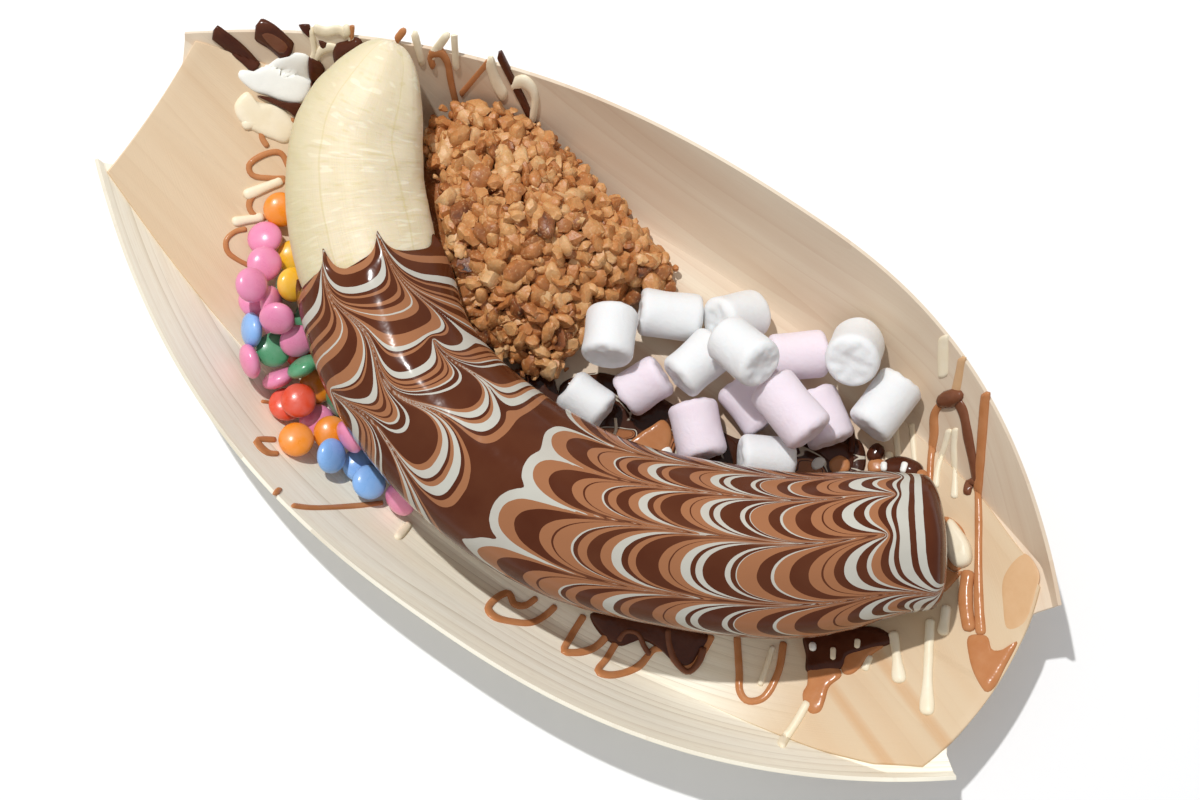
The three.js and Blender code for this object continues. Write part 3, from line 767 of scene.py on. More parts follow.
@dataclass(frozen=True)
class VeneerFinish:
    """Pale pine veneer: broad growth bands, thin rings with one crisp edge, fine fibres and short pores."""

    # The near wall's ground is almost white: partly the veneer's own pale tone, partly painted sunlight and
    # sheen on the wall that faces the key light.
    near_wall: Grain = Grain(srgb(255, 251, 235), srgb(250, 237, 206), srgb(204, 192, 166), 0.5, 0.7, 2.3)
    far_wall: Grain = Grain(srgb(231, 216, 193), srgb(207, 175, 146), srgb(198, 162, 131), 0.75, 0.3, 4.6)
    left_flap: Grain = Grain(srgb(226, 201, 168), srgb(214, 181, 143), srgb(205, 172, 134), 0.5, 0.25, 3.4)
    right_flap: Grain = Grain(
        srgb(216, 191, 156), srgb(206, 162, 114), srgb(199, 166, 127), 0.22, 0.25, 5.2, streaks=(13.9, 26.0)
    )
    pore: Colour = srgb(214, 190, 160)

    def _sheet(self, shader: Shader, grain: Any, look: Grain) -> Any:
        """Draws one sheet's grain.

        Args:
            shader: The shader.
            grain: Millimetres along and across the grain.
            look: The sheet's colours and rings.

        Returns:
            The colour.
        """
        bands = shader.noise(1.0, 2.0, 0.3, at=shader.stretch(grain, (0.004, 0.1, 1.0)))
        drift = shader.noise(1.0, 1.0, at=shader.stretch(grain, (0.006, 0.09, 1.0), (4.0, 9.0, 0.0)))
        shown = shader.noise(1.0, 1.0, at=shader.stretch(grain, (0.012, 0.3, 1.0), (7.0, 2.0, 0.0)))
        fibres = shader.noise(1.0, 3.0, at=shader.stretch(grain, (0.05, 2.6, 1.0)))
        pores = shader.noise(1.0, 1.0, at=shader.stretch(grain, (0.3, 5.0, 1.0)))
        ring = (shader.across(grain) * (1.0 / look.spacing) + drift * 6.0 + fibres * 0.05).fraction()
        colour = shader.blend(bands.between(0.42, 0.62) * look.bands, look.ground, look.band)
        colour = shader.blend(ring**5.0 * (shown.between(0.3, 0.6) * look.rings), colour, look.line)
        for streak in look.streaks:
            away = (shader.across(grain) - streak + (drift - 0.5) * 2.0) / 1.7
            colour = shader.blend((1.0 - away * away).between(0.0, 1.0) * 0.75, colour, look.band)
        colour = shader.blend(fibres.between(0.35, 0.75) * 0.2, colour, self.pore)
        return shader.blend(pores.between(0.62, 0.75) * 0.26, colour, self.pore)

    def build(self) -> Material:
        """Makes the material.

        Returns:
            The material.
        """
        shader = Shader("veneer")
        wall_grain = shader.vector("wall_grain")
        flap_grain = shader.vector("flap_grain")
        near_wall = self._sheet(shader, wall_grain, self.near_wall)
        far_wall = self._sheet(shader, wall_grain, self.far_wall)
        left_flap = self._sheet(shader, flap_grain, self.left_flap)
        right_flap = self._sheet(shader, flap_grain, self.right_flap)
        walls = shader.blend(shader.number("far"), near_wall, far_wall)
        flaps = shader.blend(shader.number("right"), left_flap, right_flap)
        colour = shader.blend(shader.number("flap"), walls, flaps)
        relief = shader.noise(1.0, 3.0, at=shader.stretch(wall_grain, (0.06, 3.0, 1.0)))
        fine = shader.noise(900.0, 2.0)
        normal = shader.bump(relief * 0.7 + fine * 0.3, 0.05)
        return shader.finish(colour, relief * 0.2 + 0.5, Normal=normal)


@dataclass(frozen=True)
class Ear:
    """The end edge of a wall: the reach of its rim, its slant inwards, and the reach of its tucked lap."""

    reach: float
    slant: float
    tuck: float


@dataclass
class Boat:
    """The folded veneer boat: a floor strip with an end flap at each end, and two side walls.

    A lap is the strip of a wall that lies under the floor. The grains' numbers set how the pattern of the
    veneer runs: where the far wall's rings start to follow its rim, how wide they lie, and how far apart the
    patterns of the sheets are.
    """

    form: BoatForm
    finish: VeneerFinish = field(default_factory=VeneerFinish)
    rows: int = 217
    floor_columns: int = 41
    wall_columns: int = 26
    left_edge: Pair = (0.2, 0.04)
    right_edge: tuple[float, float, float] = (1.6, 5.3, 26.0)
    edge_from: float = 84.0
    lap_middle: float = 3.0
    lap_folded: float = 9.0
    lap_under: float = 0.65
    lap_slope: float = 0.3
    lap_gap: float = 0.2
    seam_drop: float = 0.02
    rounding: float = 0.14
    rings_follow: Pair = (20.0, 95.0)
    rings_wide: float = 1.15
    sides_apart: Pair = (30.0, 9.0)
    ends_apart: Pair = (3.0, 8.0)
    left_grain: Plan = (0.972, -0.198)
    right_grain: Plan = (0.925, -0.380)
    far_ears: tuple[Ear, Ear] = (Ear(111.6, 0.42, 108.0), Ear(110.5, 0.43, 106.5))
    near_ears: tuple[Ear, Ear] = (Ear(110.8, 1.15, 105.5), Ear(112.1, 0.65, 106.8))
    ear_length: float = 8.0

    def _grains(self, x: Points, y: Points) -> tuple[Points, Points]:
        """Gives the millimetres along and across the grain.

        Args:
            x: Stations.
            y: Places across.

        Returns:
            The vectors for the walls' sheet and for the flaps' sheet.
        """
        side = np.where(y < 0, -1.0, 1.0)
        form = self.form
        from_rim = form.rim(x, side) - np.abs(y)
        straight = form.rim_far.peak - y
        follows = np.where(side > 0, smoothstep(x, *self.rings_follow), 1.0)
        apart, layer = self.sides_apart
        across = mix(straight, from_rim, follows) * self.rings_wide - apart * side
        wall = np.stack([x, across, layer * side], axis=-1)
        along_x, along_y = (np.where(x < 0, a, b) for a, b in zip(self.left_grain, self.right_grain))
        end = np.where(x < 0, *self.ends_apart)
        flap = np.stack([x * along_x + y * along_y, y * along_x - x * along_y, end], axis=-1)
        return wall, flap

    def _sheet(self, name: str, top: Points, flap: Points) -> Piece:
        """Makes a sheet of veneer from the grid of its upper face.

        Args:
            name: The piece's name.
            top: Places on the upper face.
            flap: How much of a flap each place is, from 0 to 1.

        Returns:
            The sheet with its thickness.
        """
        sheet = add_grid(name, top)
        wall_grain, flap_grain = self._grains(top[..., 0], top[..., 1])
        set_vectors(sheet, "wall_grain", wall_grain)
        set_vectors(sheet, "flap_grain", flap_grain)
        set_numbers(sheet, "flap", flap)
        set_numbers(sheet, "far", smoothstep(top[..., 1], -12.0, 12.0))
        set_numbers(sheet, "right", smoothstep(top[..., 0], -10.0, 10.0))
        if read_vertices(sheet, "normal")[:, 2].mean() < 0:
            with editing(sheet, whole=True):
                bpy.ops.mesh.flip_normals()
        apply_modifier(sheet, "SOLIDIFY", thickness=self.form.veneer * MM, offset=-1.0)
        places = coordinates_of(sheet)
        places[:, 2] = np.maximum(places[:, 2], 0.0)
        place_vertices(sheet, places)
        bevel = {"width": self.rounding * MM, "segments": 1, "limit_method": "ANGLE", "angle_limit": 1.1}
        apply_modifier(sheet, "BEVEL", **bevel)
        shade(sheet, 35.0)
        return sheet

    def _floor(self) -> Piece:
        """Makes the floor strip with its flaps; the left edge is straight and the right one a bow.

        Returns:
            The piece.
        """
        reach = self.form.flap_reach
        station = np.linspace(-reach, reach, self.rows)[:, None]
        across = np.linspace(-1.0, 1.0, self.floor_columns)[None, :]
        y = across * self.form.fold(station, across)
        out, bow, half = self.right_edge
        edge = np.where(station < 0, self.left_edge[0] + self.left_edge[1] * y, out - bow * (y / half) ** 2)
        x = station + np.sign(station) * edge * smoothstep(np.abs(station), self.edge_from, reach)
        top = np.stack([x, y, self.form.panel(x, y)], axis=-1)
        return self._sheet("boat_floor", top, self.form.folded(x))

    def _wall(self, name: str, side: float) -> Piece:
        """Makes a side wall, from its strip under the floor to the rim.

        Args:
            name: The piece's name.
            side: 1 for the far side, -1 for the near side.

        Returns:
            The wall.
        """
        form = self.form
        left, right = self.far_ears if side > 0 else self.near_ears
        share = np.linspace(-1.0, 1.0, self.rows)[:, None]
        reach, slant, tuck = (
            np.where(share < 0, getattr(left, key), getattr(right, key)) for key in ("reach", "slant", "tuck")
        )
        station = share * reach
        lap_share = np.array([1.0, 0.5])[None, :]
        out = np.linspace(0.0, 1.0, self.wall_columns)[None, :]
        lap = mix(self.lap_middle, self.lap_folded, form.folded(station))
        fold = form.fold(station, side)
        rim = form.rim(station, side)
        inwards = np.concatenate([rim - fold + lap_share * lap, (rim - fold) * (1 - out)], axis=1)
        end = smoothstep(np.abs(station), reach - self.ear_length, reach)
        x = station - np.sign(station) * np.minimum(slant * inwards, reach - tuck) * end
        lap_x, wall_x = x[:, :2], x[:, 2:]
        folded = form.folded(lap_x)
        lap_y = side * (form.fold(lap_x, side) - lap_share * lap)
        under = np.maximum(self.lap_under * form.veneer * folded, self.lap_slope * lap_share)
        lap_drop = under + self.lap_gap
        lap_z = form.panel(lap_x, lap_y) - lap_drop
        wall_y = side * mix(form.fold(wall_x, side), form.rim(wall_x, side), out)
        wall_z = form.wall(wall_x, wall_y) - self.seam_drop * (out < 0.01)
        y = np.concatenate([lap_y, wall_y], axis=1)
        z = np.concatenate([lap_z, wall_z], axis=1)
        return self._sheet(name, np.stack([x, y, z], axis=-1), np.zeros(y.shape))

    def build(self) -> None:
        """Makes and dresses the three sheets."""
        material = self.finish.build()
        for sheet in (self._floor(), self._wall("boat_wall_far", 1.0), self._wall("boat_wall_near", -1.0)):
            hand_over(sheet, material, "veneer", "boat")


# ---- the banana and its glaze


@dataclass(frozen=True)
class BananaForm:
    """The form of the peeled fruit, by distance from the bare tip and angle from the top.

    Its ridges are how many there are, how high they stand as a share of the radius, and their turn. The
    filling is a swelling that keeps the far side full where the fruit bends: how high, where and how long.
    """

    through: tuple[Colour, ...] = (
        (-72.5, 41, 29), (-70.3, 31.4, 26.4), (-68.6, 21.1, 22.6), (-60, 8.2, 19), (-47.4, -3.4, 17.9),
        (-34, -13.5, 18.8), (-17, -19.5, 19.6), (1, -21.3, 19.7), (20, -19.2, 19.7), (40, -11.8, 19.8),
        (60, -1, 20.6), (74, 11.3, 22.2), (82.4, 17.6, 23),
    )
    radii: tuple[float, ...] = (8.1, 12.7, 15.2, 15.2, 14.5, 14.9, 16, 16.3, 16, 15.8, 15.6, 14.1, 11.3)
    ridges: tuple[int, float, float] = (5, 0.03, 0.5)
    rounding: Pair = (16.5, 4.4)
    bluntness: float = 2.3
    filling: tuple[float, float, float] = (1.3, 19.5, 8.0)
    turns_over: float = 6.0
    swells_over: float = 0.5
    samples: int = 160

    @property
    def line(self) -> SmoothLine:
        """The centre line."""
        return SmoothLine(self.through)

    def points(self, line: SmoothLine, distance: Any, angle: Any, offset: Any = 0.0) -> Points:
        """Finds points on the fruit or outside it.

        Args:
            line: The centre line.
            distance: Millimetres from the bare tip.
            angle: Degrees from the top towards the near side.
            offset: Millimetres outside the fruit.

        Returns:
            The points.
        """
        distance, angle, offset = np.broadcast_arrays(*np.atleast_1d(distance, np.radians(angle), offset))
        inside = np.clip(distance, 0.0, line.length)
        shifts = np.linspace(-self.turns_over, self.turns_over, 5)
        around = [line.tangent(np.clip(inside + shift, 0.0, line.length)) for shift in shifts]
        tangent = unit(np.sum(around, axis=0))
        near = unit(np.cross(tangent, (0.0, 0.0, 1.0)))
        up = np.cross(near, tangent)
        centre = line.at(inside) + tangent * (distance - inside)[..., None]
        count, depth, turn = self.ridges
        radius = self._radius(inside / line.length) * (1 + depth * np.cos(count * angle + turn)) + offset
        filled, middle, spread = self.filling
        bend = np.exp(-(((inside - middle) / spread) ** 2))
        radius = radius + filled * bend * np.clip(-np.sin(angle), 0, 1) ** 2
        start, end = self.rounding
        radius = radius * self._opening(distance + offset, start)
        radius = (radius * self._opening(line.length + offset - distance, end))[..., None]
        return centre + near * radius * np.sin(angle)[..., None] + up * radius * np.cos(angle)[..., None]

    def _radius(self, share: Points) -> Points:
        """Gives the radius, eased over the bends between the listed ones.

        Args:
            share: Shares of the length.

        Returns:
            The radii.
        """
        place = np.asarray(share) * (len(self.radii) - 1)
        listed = np.arange(len(self.radii))
        shifts = np.linspace(-self.swells_over, self.swells_over, 5)
        around = [np.interp(place + shift, listed, self.radii) for shift in shifts]
        return np.mean(around, axis=0)

    def _opening(self, distance: Points, length: float) -> Points:
        """Gives how far a rounded tip has opened at a distance from its very end."""
        closed = np.maximum(1 - distance / length, 0.0) ** self.bluntness
        return np.maximum(1 - closed, 0.0) ** (1 / self.bluntness)

    def gap(self, line: SmoothLine, places: Points) -> Points:
        """Gives how far places are from the bare fruit.

        Args:
            line: The centre line.
            places: The places, one in each row.

        Returns:
            Millimetres, less than 0 inside the fruit.
        """
        samples = np.linspace(0.0, line.length, self.samples)
        apart = np.linalg.norm(places[:, None, :] - line.at(samples)[None], axis=-1)
        return (apart - self._radius(samples / line.length)[None]).min(axis=1)


@dataclass(frozen=True)
class FruitFinish:
    """Bare banana: cream flesh with fine cross striations and greenish lines on its corners, and painted
    shade on its near flank.
    """

    flesh: Colour = srgb(236, 221, 190)
    shade: Colour = srgb(224, 208, 168)
    line: Colour = srgb(212, 194, 126)
    dash: Colour = srgb(247, 238, 212)
    near_side_shade: Colour = srgb(210, 198, 158)
    ridge_angles: Pair = (24.0, -46.0)

    def build(self) -> Material:
        """Makes the material.

        Returns:
            The material.
        """
        shader = Shader("banana_flesh")
        skin = shader.vector("skin")
        angle = shader.number("angle")
        broad = shader.noise(1.0, 2.0, at=shader.stretch(skin, (0.05, 0.12, 1.0)))
        cross = shader.noise(1.0, 3.0, 0.3, at=shader.stretch(skin, (1.1, 0.12, 1.0)))
        threads = shader.noise(1.0, 2.0, at=shader.stretch(skin, (0.06, 2.2, 1.0)))
        colour = shader.blend(broad.between(0.35, 0.7) * 0.55, self.flesh, self.shade)
        colour = shader.blend(cross.between(0.52, 0.72) * 0.4, colour, self.shade)
        colour = shader.blend(threads.between(0.55, 0.75) * 0.22, colour, self.shade)
        dashes = shader.noise(1.0, 1.0, 0.25, at=shader.stretch(skin, (0.62, 0.13, 1.0), (3.0, 7.0, 0.0)))
        colour = shader.blend(dashes.between(0.6, 0.66) * 0.6, colour, self.dash)
        hollows = 1.0 - dashes.between(0.32, 0.4)
        colour = shader.blend(hollows * 0.3, colour, self.line)
        # Painted shade: the near flank, turned away from the key light, is darkened to a greyer tone.
        colour = shader.blend(angle.between(22.0, 52.0) * 0.75, colour, self.near_side_shade)
        wander = (broad - 0.5) * 10.0
        for ridge in self.ridge_angles:
            away = (angle - ridge + wander) / 1.4
            colour = shader.blend((1.0 - away * away).between(0.0, 1.0) * 0.36, colour, self.line)
        relief = cross * 0.6 + threads * 0.4
        normal = shader.bump(relief, 0.22)
        return shader.finish(
            colour,
            relief * 0.2 + 0.42,
            Normal=normal,
            Subsurface_Weight=0.25,
            Subsurface_Radius=(1.0, 0.7, 0.35),
            Subsurface_Scale=0.003,
        )


@dataclass
class Fruit:
    """The peeled banana."""

    form: BananaForm
    finish: FruitFinish = field(default_factory=FruitFinish)
    rows: int = 240
    columns: int = 128
    rows_at_tips: float = 0.6
    mm_per_degree: float = 0.27
    unevenness: tuple[Layer, ...] = ((0.22, 9.0, 3), (0.1, 3.0, 4))
    calm_within: float = 4.0

    def build(self) -> None:
        """Makes and dresses the fruit."""
        line = self.form.line
        share = (1 - np.cos(np.linspace(0, np.pi, self.rows))) / 2
        even = np.linspace(0.0, 1.0, self.rows)
        distance = (mix(even, share, self.rows_at_tips) * line.length)[:, None]
        angle = np.linspace(-180.0, 180.0, self.columns + 1)[None, :]
        places = self.form.points(line, distance, angle)
        centre = places[:, :-1].mean(axis=1, keepdims=True)
        outward = places - centre
        size = np.maximum(np.linalg.norm(outward, axis=-1, keepdims=True), 0.01)
        depth = dents(places, *self.unevenness) * np.minimum(size[..., 0] / self.calm_within, 1.0)
        places = places + outward / size * depth[..., None]
        fruit = add_grid("banana_fruit", close_up(places))
        zeros = np.zeros(places.shape[:2])
        around = np.abs(angle) * self.mm_per_degree
        set_vectors(fruit, "skin", np.stack([distance + zeros, around + zeros, zeros], axis=-1))
        set_numbers(fruit, "angle", angle + zeros)
        weld(fruit)
        shade(fruit)
        hand_over(fruit, self.finish.build(), "banana_flesh", "banana")


class Chocolate(Enum):
    """The three chocolates, by the letter used in a row of stripes, with their colours."""

    DARK = ("D", srgb(82, 37, 17))
    MILK = ("M", srgb(163, 109, 74))
    WHITE = ("W", srgb(197, 195, 184))

    @property
    def colour(self) -> Colour:
        """The chocolate's colour."""
        return self.value[1]

    @classmethod
    def from_letter(cls, letter: str) -> Chocolate:
        """Finds the chocolate that a letter stands for."""
        return next(kind for kind in cls if kind.value[0] == letter)


@dataclass(frozen=True)
class Drag:
    """A stroke of the skewer through the poured stripes.

    Its reach is how far to its sides it pulls the chocolate along. Its points are a distance from the bare
    tip in millimetres, less the shift that all strokes share, and an angle in degrees from the top.
    """

    reach: float
    through: tuple[Plan, ...]


@dataclass(frozen=True)
class Marbling:
    """Stripes poured round the fruit, and the strokes that drew them out.

    The rows list the stripes from the bare tip on: D, M or W for the chocolate, and the width.
    """

    start: float = 44.15
    shift: float = 1.15
    mm_per_degree: float = 0.305
    step: float = 0.35
    rows: tuple[str, ...] = (
        "D9.5 M2 D3.4 W.8 D.15 W.9 D1 M.7 D1.8 M.8 D.9 M1.4 W.3 M1.5 D3 M2.6 W1 D.6 M.7 D3.5 W1.6 D.8",
        "M1 D.7 M.8 D.4 M.8 W.5 D1 W.7 D6 M1 W1.5 D.8 M.8 W1.7 D1 M1.3 D4.8 W1.4 M2.6 D4.6 M2.4 D.4",
        "M3.6 W.4 D.9 M1.8 D2.7 M2.2 W1.9 D1.4 M1.5 D4.6 M1.9 D.5 M2 W1.9 D1.1 W1.6 D4.4 W1.2 D1 W.3 M4",
        "D2.7 W.8 M3 D3.8 M2.5 D.5 M2.2 D2 W2.6 D2.3 W1.2 M2.2 D1.8 W1.3 D1.4 W2.6 D1.5 W2 D7.6",
    )
    drags: tuple[Drag, ...] = (
        Drag(2.4, ((80, -68), (72, -56), (67, -48), (63, -34), (58, -21), (52, -16), (44, -14.5))),
        Drag(2.4, (
            (103, 8), (92, -3), (86, 3), (80, 20), (75, 17), (69, 8), (65, 12), (61, 26), (56, 35), (44, 30),
        )),
        Drag(1.9, ((100, -31), (96, -34), (91, -42), (85, -38), (80, -29), (74.5, -30))),
        Drag(2.1, ((106, 66), (97, 56), (92, 50), (87, 44), (80, 42), (76, 52), (72, 64))),
        Drag(2.7, ((108, -22), (120, -26), (135, -31), (150, -36), (170, -39), (190, -41))),
        Drag(2.7, ((107, 4), (112, 5), (122, 3), (130, -1), (150, -4), (188, -4))),
        Drag(2.7, ((107, 47), (112, 45), (125, 43), (150, 40), (175, 40), (190, 46), (199, 54))),
        Drag(2.7, ((106, -58), (120, -57), (150, -62), (192, -66))),
        Drag(2.7, ((103.35, 84), (120, 80), (150, 78), (192, 72))),
        Drag(2.7, ((60, 104), (90, 112), (120, 118), (192, 114))),
        Drag(2.7, ((60, -96), (90, -100), (120, -102), (192, -106))),
    )

    def stripes(self) -> list[tuple[float, Chocolate]]:
        """Lists the stripes.

        Returns:
            Where each starts, and its chocolate.
        """
        found = []
        place = self.start
        for token in " ".join(self.rows).split():
            found.append((place, Chocolate.from_letter(token[0])))
            place += float(token[1:])
        return found

    def poured(self, distance: Points, angle: Points) -> Points:
        """Finds where the chocolate at each place was poured, before the skewer drew it out.

        Args:
            distance: Millimetres from the bare tip.
            angle: Degrees from the top, of the same shape.

        Returns:
            The distances at which it was poured.
        """
        along = distance.copy()
        around = angle * self.mm_per_degree
        for drag in reversed(self.drags):
            route = SmoothLine([(d + self.shift, a * self.mm_per_degree) for d, a in drag.through])
            steps = route.at(np.linspace(0.0, route.length, int(route.length / self.step)))
            for here, before in zip(steps[:0:-1], steps[-2::-1]):
                pull = here - before
                away = np.sqrt((along - here[0]) ** 2 + (around - here[1]) ** 2)
                share = np.exp(-away / drag.reach)
                along -= pull[0] * share
                around -= pull[1] * share
        return along


@dataclass(frozen=True)
class GlazeFinish:
    """Marbled chocolate, glossy, with its stripes read from where the chocolate was poured."""

    marbling: Marbling
    smeared: Colour = srgb(148, 98, 68)
    ramp_size: int = 28

    def build(self) -> Material:
        """Makes the material.

        Returns:
            The material.
        """
        shader = Shader("chocolate_glaze")
        poured = shader.number("poured")
        smear = shader.number("smear")
        wobble = shader.noise(260.0, 2.0)
        edge = poured + (wobble - 0.5) * 0.35
        stripes = self.marbling.stripes()
        colour: Any = Chocolate.DARK.colour
        for first in range(0, len(stripes), self.ramp_size):
            chunk = stripes[first : first + self.ramp_size]
            start = chunk[0][0]
            length = stripes[min(first + self.ramp_size, len(stripes) - 1)][0] + 1.0 - start
            stops = [((at - start) / length, kind.colour) for at, kind in chunk]
            row = shader.ramp((edge - start) / length, stops, crisp=True)
            colour = shader.blend(edge.above(start), colour, row)
        colour = shader.blend(smear * 0.85, colour, self.smeared)
        cloud = shader.noise(90.0, 3.0)
        colour = shader.blend(cloud.between(0.3, 0.8) * 0.16, colour, self.smeared)
        relief = shader.noise(140.0, 2.0) * 0.8 + shader.noise(900.0, 1.0) * 0.06
        return shader.finish(colour, cloud * 0.08 + 0.12, Normal=shader.bump(relief, 0.25), IOR=1.27)


@dataclass
class Glaze:
    """The chocolate glaze over the fruit, with drawn-out spikes at its edge.

    A spike is the angle at which it stands, its length and its width in degrees. The swell is how thick the
    glaze starts, and the distance over which it gains its full thickness. Stripes are smeared where they are
    drawn out more than the first number of smeared, and wholly so past both numbers together.
    """

    form: BananaForm
    marbling: Marbling = field(default_factory=Marbling)
    thickness: float = 2.2
    inner: float = 0.1
    lip: float = 0.35
    swell: Pair = (0.7, 2.6)
    unevenness: tuple[Layer, ...] = ((0.16, 11.0, 5), (0.06, 3.5, 6))
    calm_rows: int = 12
    calm_share: float = 0.03
    smeared: Pair = (5.0, 12.0)
    smeared_length: float = 150.0
    edge: tuple[Plan, ...] = (
        (-180, 57.1), (-105, 52.1), (-30, 52.1), (0, 52.4), (15, 53.4), (45, 52.1), (75, 53.6), (120, 51.6),
        (180, 57.1),
    )
    spikes: tuple[Colour, ...] = ((-15.5, 6.4, 5.0), (30.5, 5.8, 5.0), (-72.0, 4.0, 6.0), (86.0, 3.6, 6.0))
    fine_step: float = 1.25
    coarse_step: float = 4.0
    fine_to: float = 112.0
    rows: int = 388
    rows_inside: int = 14
    rows_round_lip: int = 7
    rows_bunched: float = 0.97

    def edge_at(self, angle: Points) -> Points:
        """Gives the distance at which the glaze starts, round the fruit.

        Args:
            angle: Degrees from the top.

        Returns:
            Millimetres from the bare tip.
        """
        found = np.interp(angle, *zip(*self.edge))
        for at, tall, wide in self.spikes:
            found = found - tall * np.exp(-np.abs(angle - at) / wide)
        return found

    def _angles(self) -> Points:
        """Lists the angles of the columns, closer together where they show.

        Returns:
            Degrees from the top, from -180 to 180.
        """
        fine = np.arange(-self.fine_to, self.fine_to + 0.01, self.fine_step)
        right = np.arange(self.fine_to + self.coarse_step, 180.0, self.coarse_step)
        return np.concatenate([[-180.0], -right[::-1], fine, right, [180.0]])

    def build(self) -> None:
        """Makes and dresses the glaze."""
        line = self.form.line
        angle = self._angles()[None, :]
        edge = self.edge_at(angle)
        end = line.length + self.thickness
        # From the inner tip back to the edge, over the rounded lip, and out along the upper face.
        run_in = np.linspace(1.0, 0.0, self.rows_inside)[:-1, None]
        inner = edge + (line.length + self.inner - edge) * run_in
        lip = np.linspace(0.0, np.pi, self.rows_round_lip)[:-1, None]
        run_out = np.linspace(0.0, 1.0, self.rows)[:, None] ** self.rows_bunched
        outer = edge + (end - edge) * run_out
        back = self.lip * np.sin(lip)
        distance = np.concatenate([inner, edge - back, outer])
        rim = self.inner + self.lip * (1 - np.cos(lip))
        thin, over = self.swell
        swell = mix(self.inner + thin, self.thickness, 1 - np.exp(-(outer - edge) / over))
        zeros = np.zeros_like(distance)
        offset = np.concatenate([self.inner + zeros[: len(inner)], rim + zeros[: len(lip)], swell])
        places = self.form.points(line, distance, angle + zeros, offset)
        uneven = smoothstep(run_out[:, 0], 0.0, self.calm_share)
        share = np.concatenate([np.zeros(len(inner) + len(lip)), uneven])
        share *= smoothstep(np.linspace(len(share), 0, len(share)), 0, self.calm_rows)
        centre = places[:, :-1].mean(axis=1, keepdims=True)
        outward = unit(places - centre + 1e-6)
        places = places + outward * (dents(places, *self.unevenness) * share[:, None])[..., None]
        poured = self.marbling.poured(distance + zeros, angle + zeros)
        smear = self._smear(poured, angle, run_out, len(inner) + len(lip))
        glaze = add_body("glaze", close_up(places), poured=poured, smear=smear)
        hand_over(glaze, GlazeFinish(self.marbling).build(), "chocolate_glaze", "coating")

    def _smear(self, poured: Points, angle: Points, run_out: Points, before: int) -> Points:
        """Gives how far the stripes are drawn out into each other, from 0 to 1.

        Args:
            poured: Where each vertex's chocolate was poured.
            angle: The columns' angles.
            run_out: The outer rows' shares of the length.
            before: How many rows come before them.

        Returns:
            A value for each vertex.
        """
        around = angle[0] * self.marbling.mm_per_degree
        along = run_out[:, 0] * self.smeared_length
        steep = np.hypot(*np.gradient(poured[before:], along, around))
        smear = np.zeros_like(poured)
        least, further = self.smeared
        smear[before:] = np.clip((steep - least) / further, 0.0, 1.0)
        return smear


# ---- sauces


@dataclass(frozen=True)
class SauceFinish:
    """A glossy sauce of one colour, a little uneven."""

    name: str
    colour: Colour
    thin: Colour
    roughness: float

    def build(self) -> Material:
        """Makes the material.

        Returns:
            The material.
        """
        shader = Shader(self.name)
        cloud = shader.noise(260.0, 3.0)
        colour = shader.blend(cloud.between(0.35, 0.75) * 0.5, self.colour, self.thin)
        normal = shader.bump(shader.noise(420.0, 2.0), 0.12)
        return shader.finish(colour, cloud * 0.1 + self.roughness, Normal=normal, IOR=1.3)


class Sauce(Enum):
    """The sauces that lie on the veneer, with their finishes."""

    DARK = SauceFinish("sauce_dark", srgb(74, 36, 22), srgb(100, 58, 40), 0.12)
    BROWN = SauceFinish("sauce_brown", srgb(116, 70, 48), srgb(142, 94, 68), 0.14)
    MILK = SauceFinish("sauce_milk", srgb(188, 124, 78), srgb(204, 148, 104), 0.14)
    CREAM = SauceFinish("sauce_cream", srgb(242, 228, 198), srgb(249, 240, 220), 0.3)
    WHITE = SauceFinish("sauce_white", srgb(246, 246, 240), srgb(250, 250, 244), 0.25)
    STAIN = SauceFinish("sauce_stain", srgb(212, 170, 126), srgb(219, 182, 140), 0.3)


@dataclass(frozen=True)
class Bead:
    """A line of sauce that has set on the veneer.

    Its drop is how much wider it ends than it starts, where it ran down. A blunt one has square ends.
    """

    sauce: Sauce
    width: float
    height: float
    through: tuple[Plan, ...]
    drop: float = 1.0
    lift: float = 0.0
    blunt: bool = False


@dataclass(frozen=True)
class Puddle:
    """A flat pool of sauce with a smooth outline."""

    sauce: Sauce
    height: float
    outline: tuple[Plan, ...]
    lift: float = 0.0


DARK, BROWN, MILK, CREAM, WHITE, STAIN = Sauce

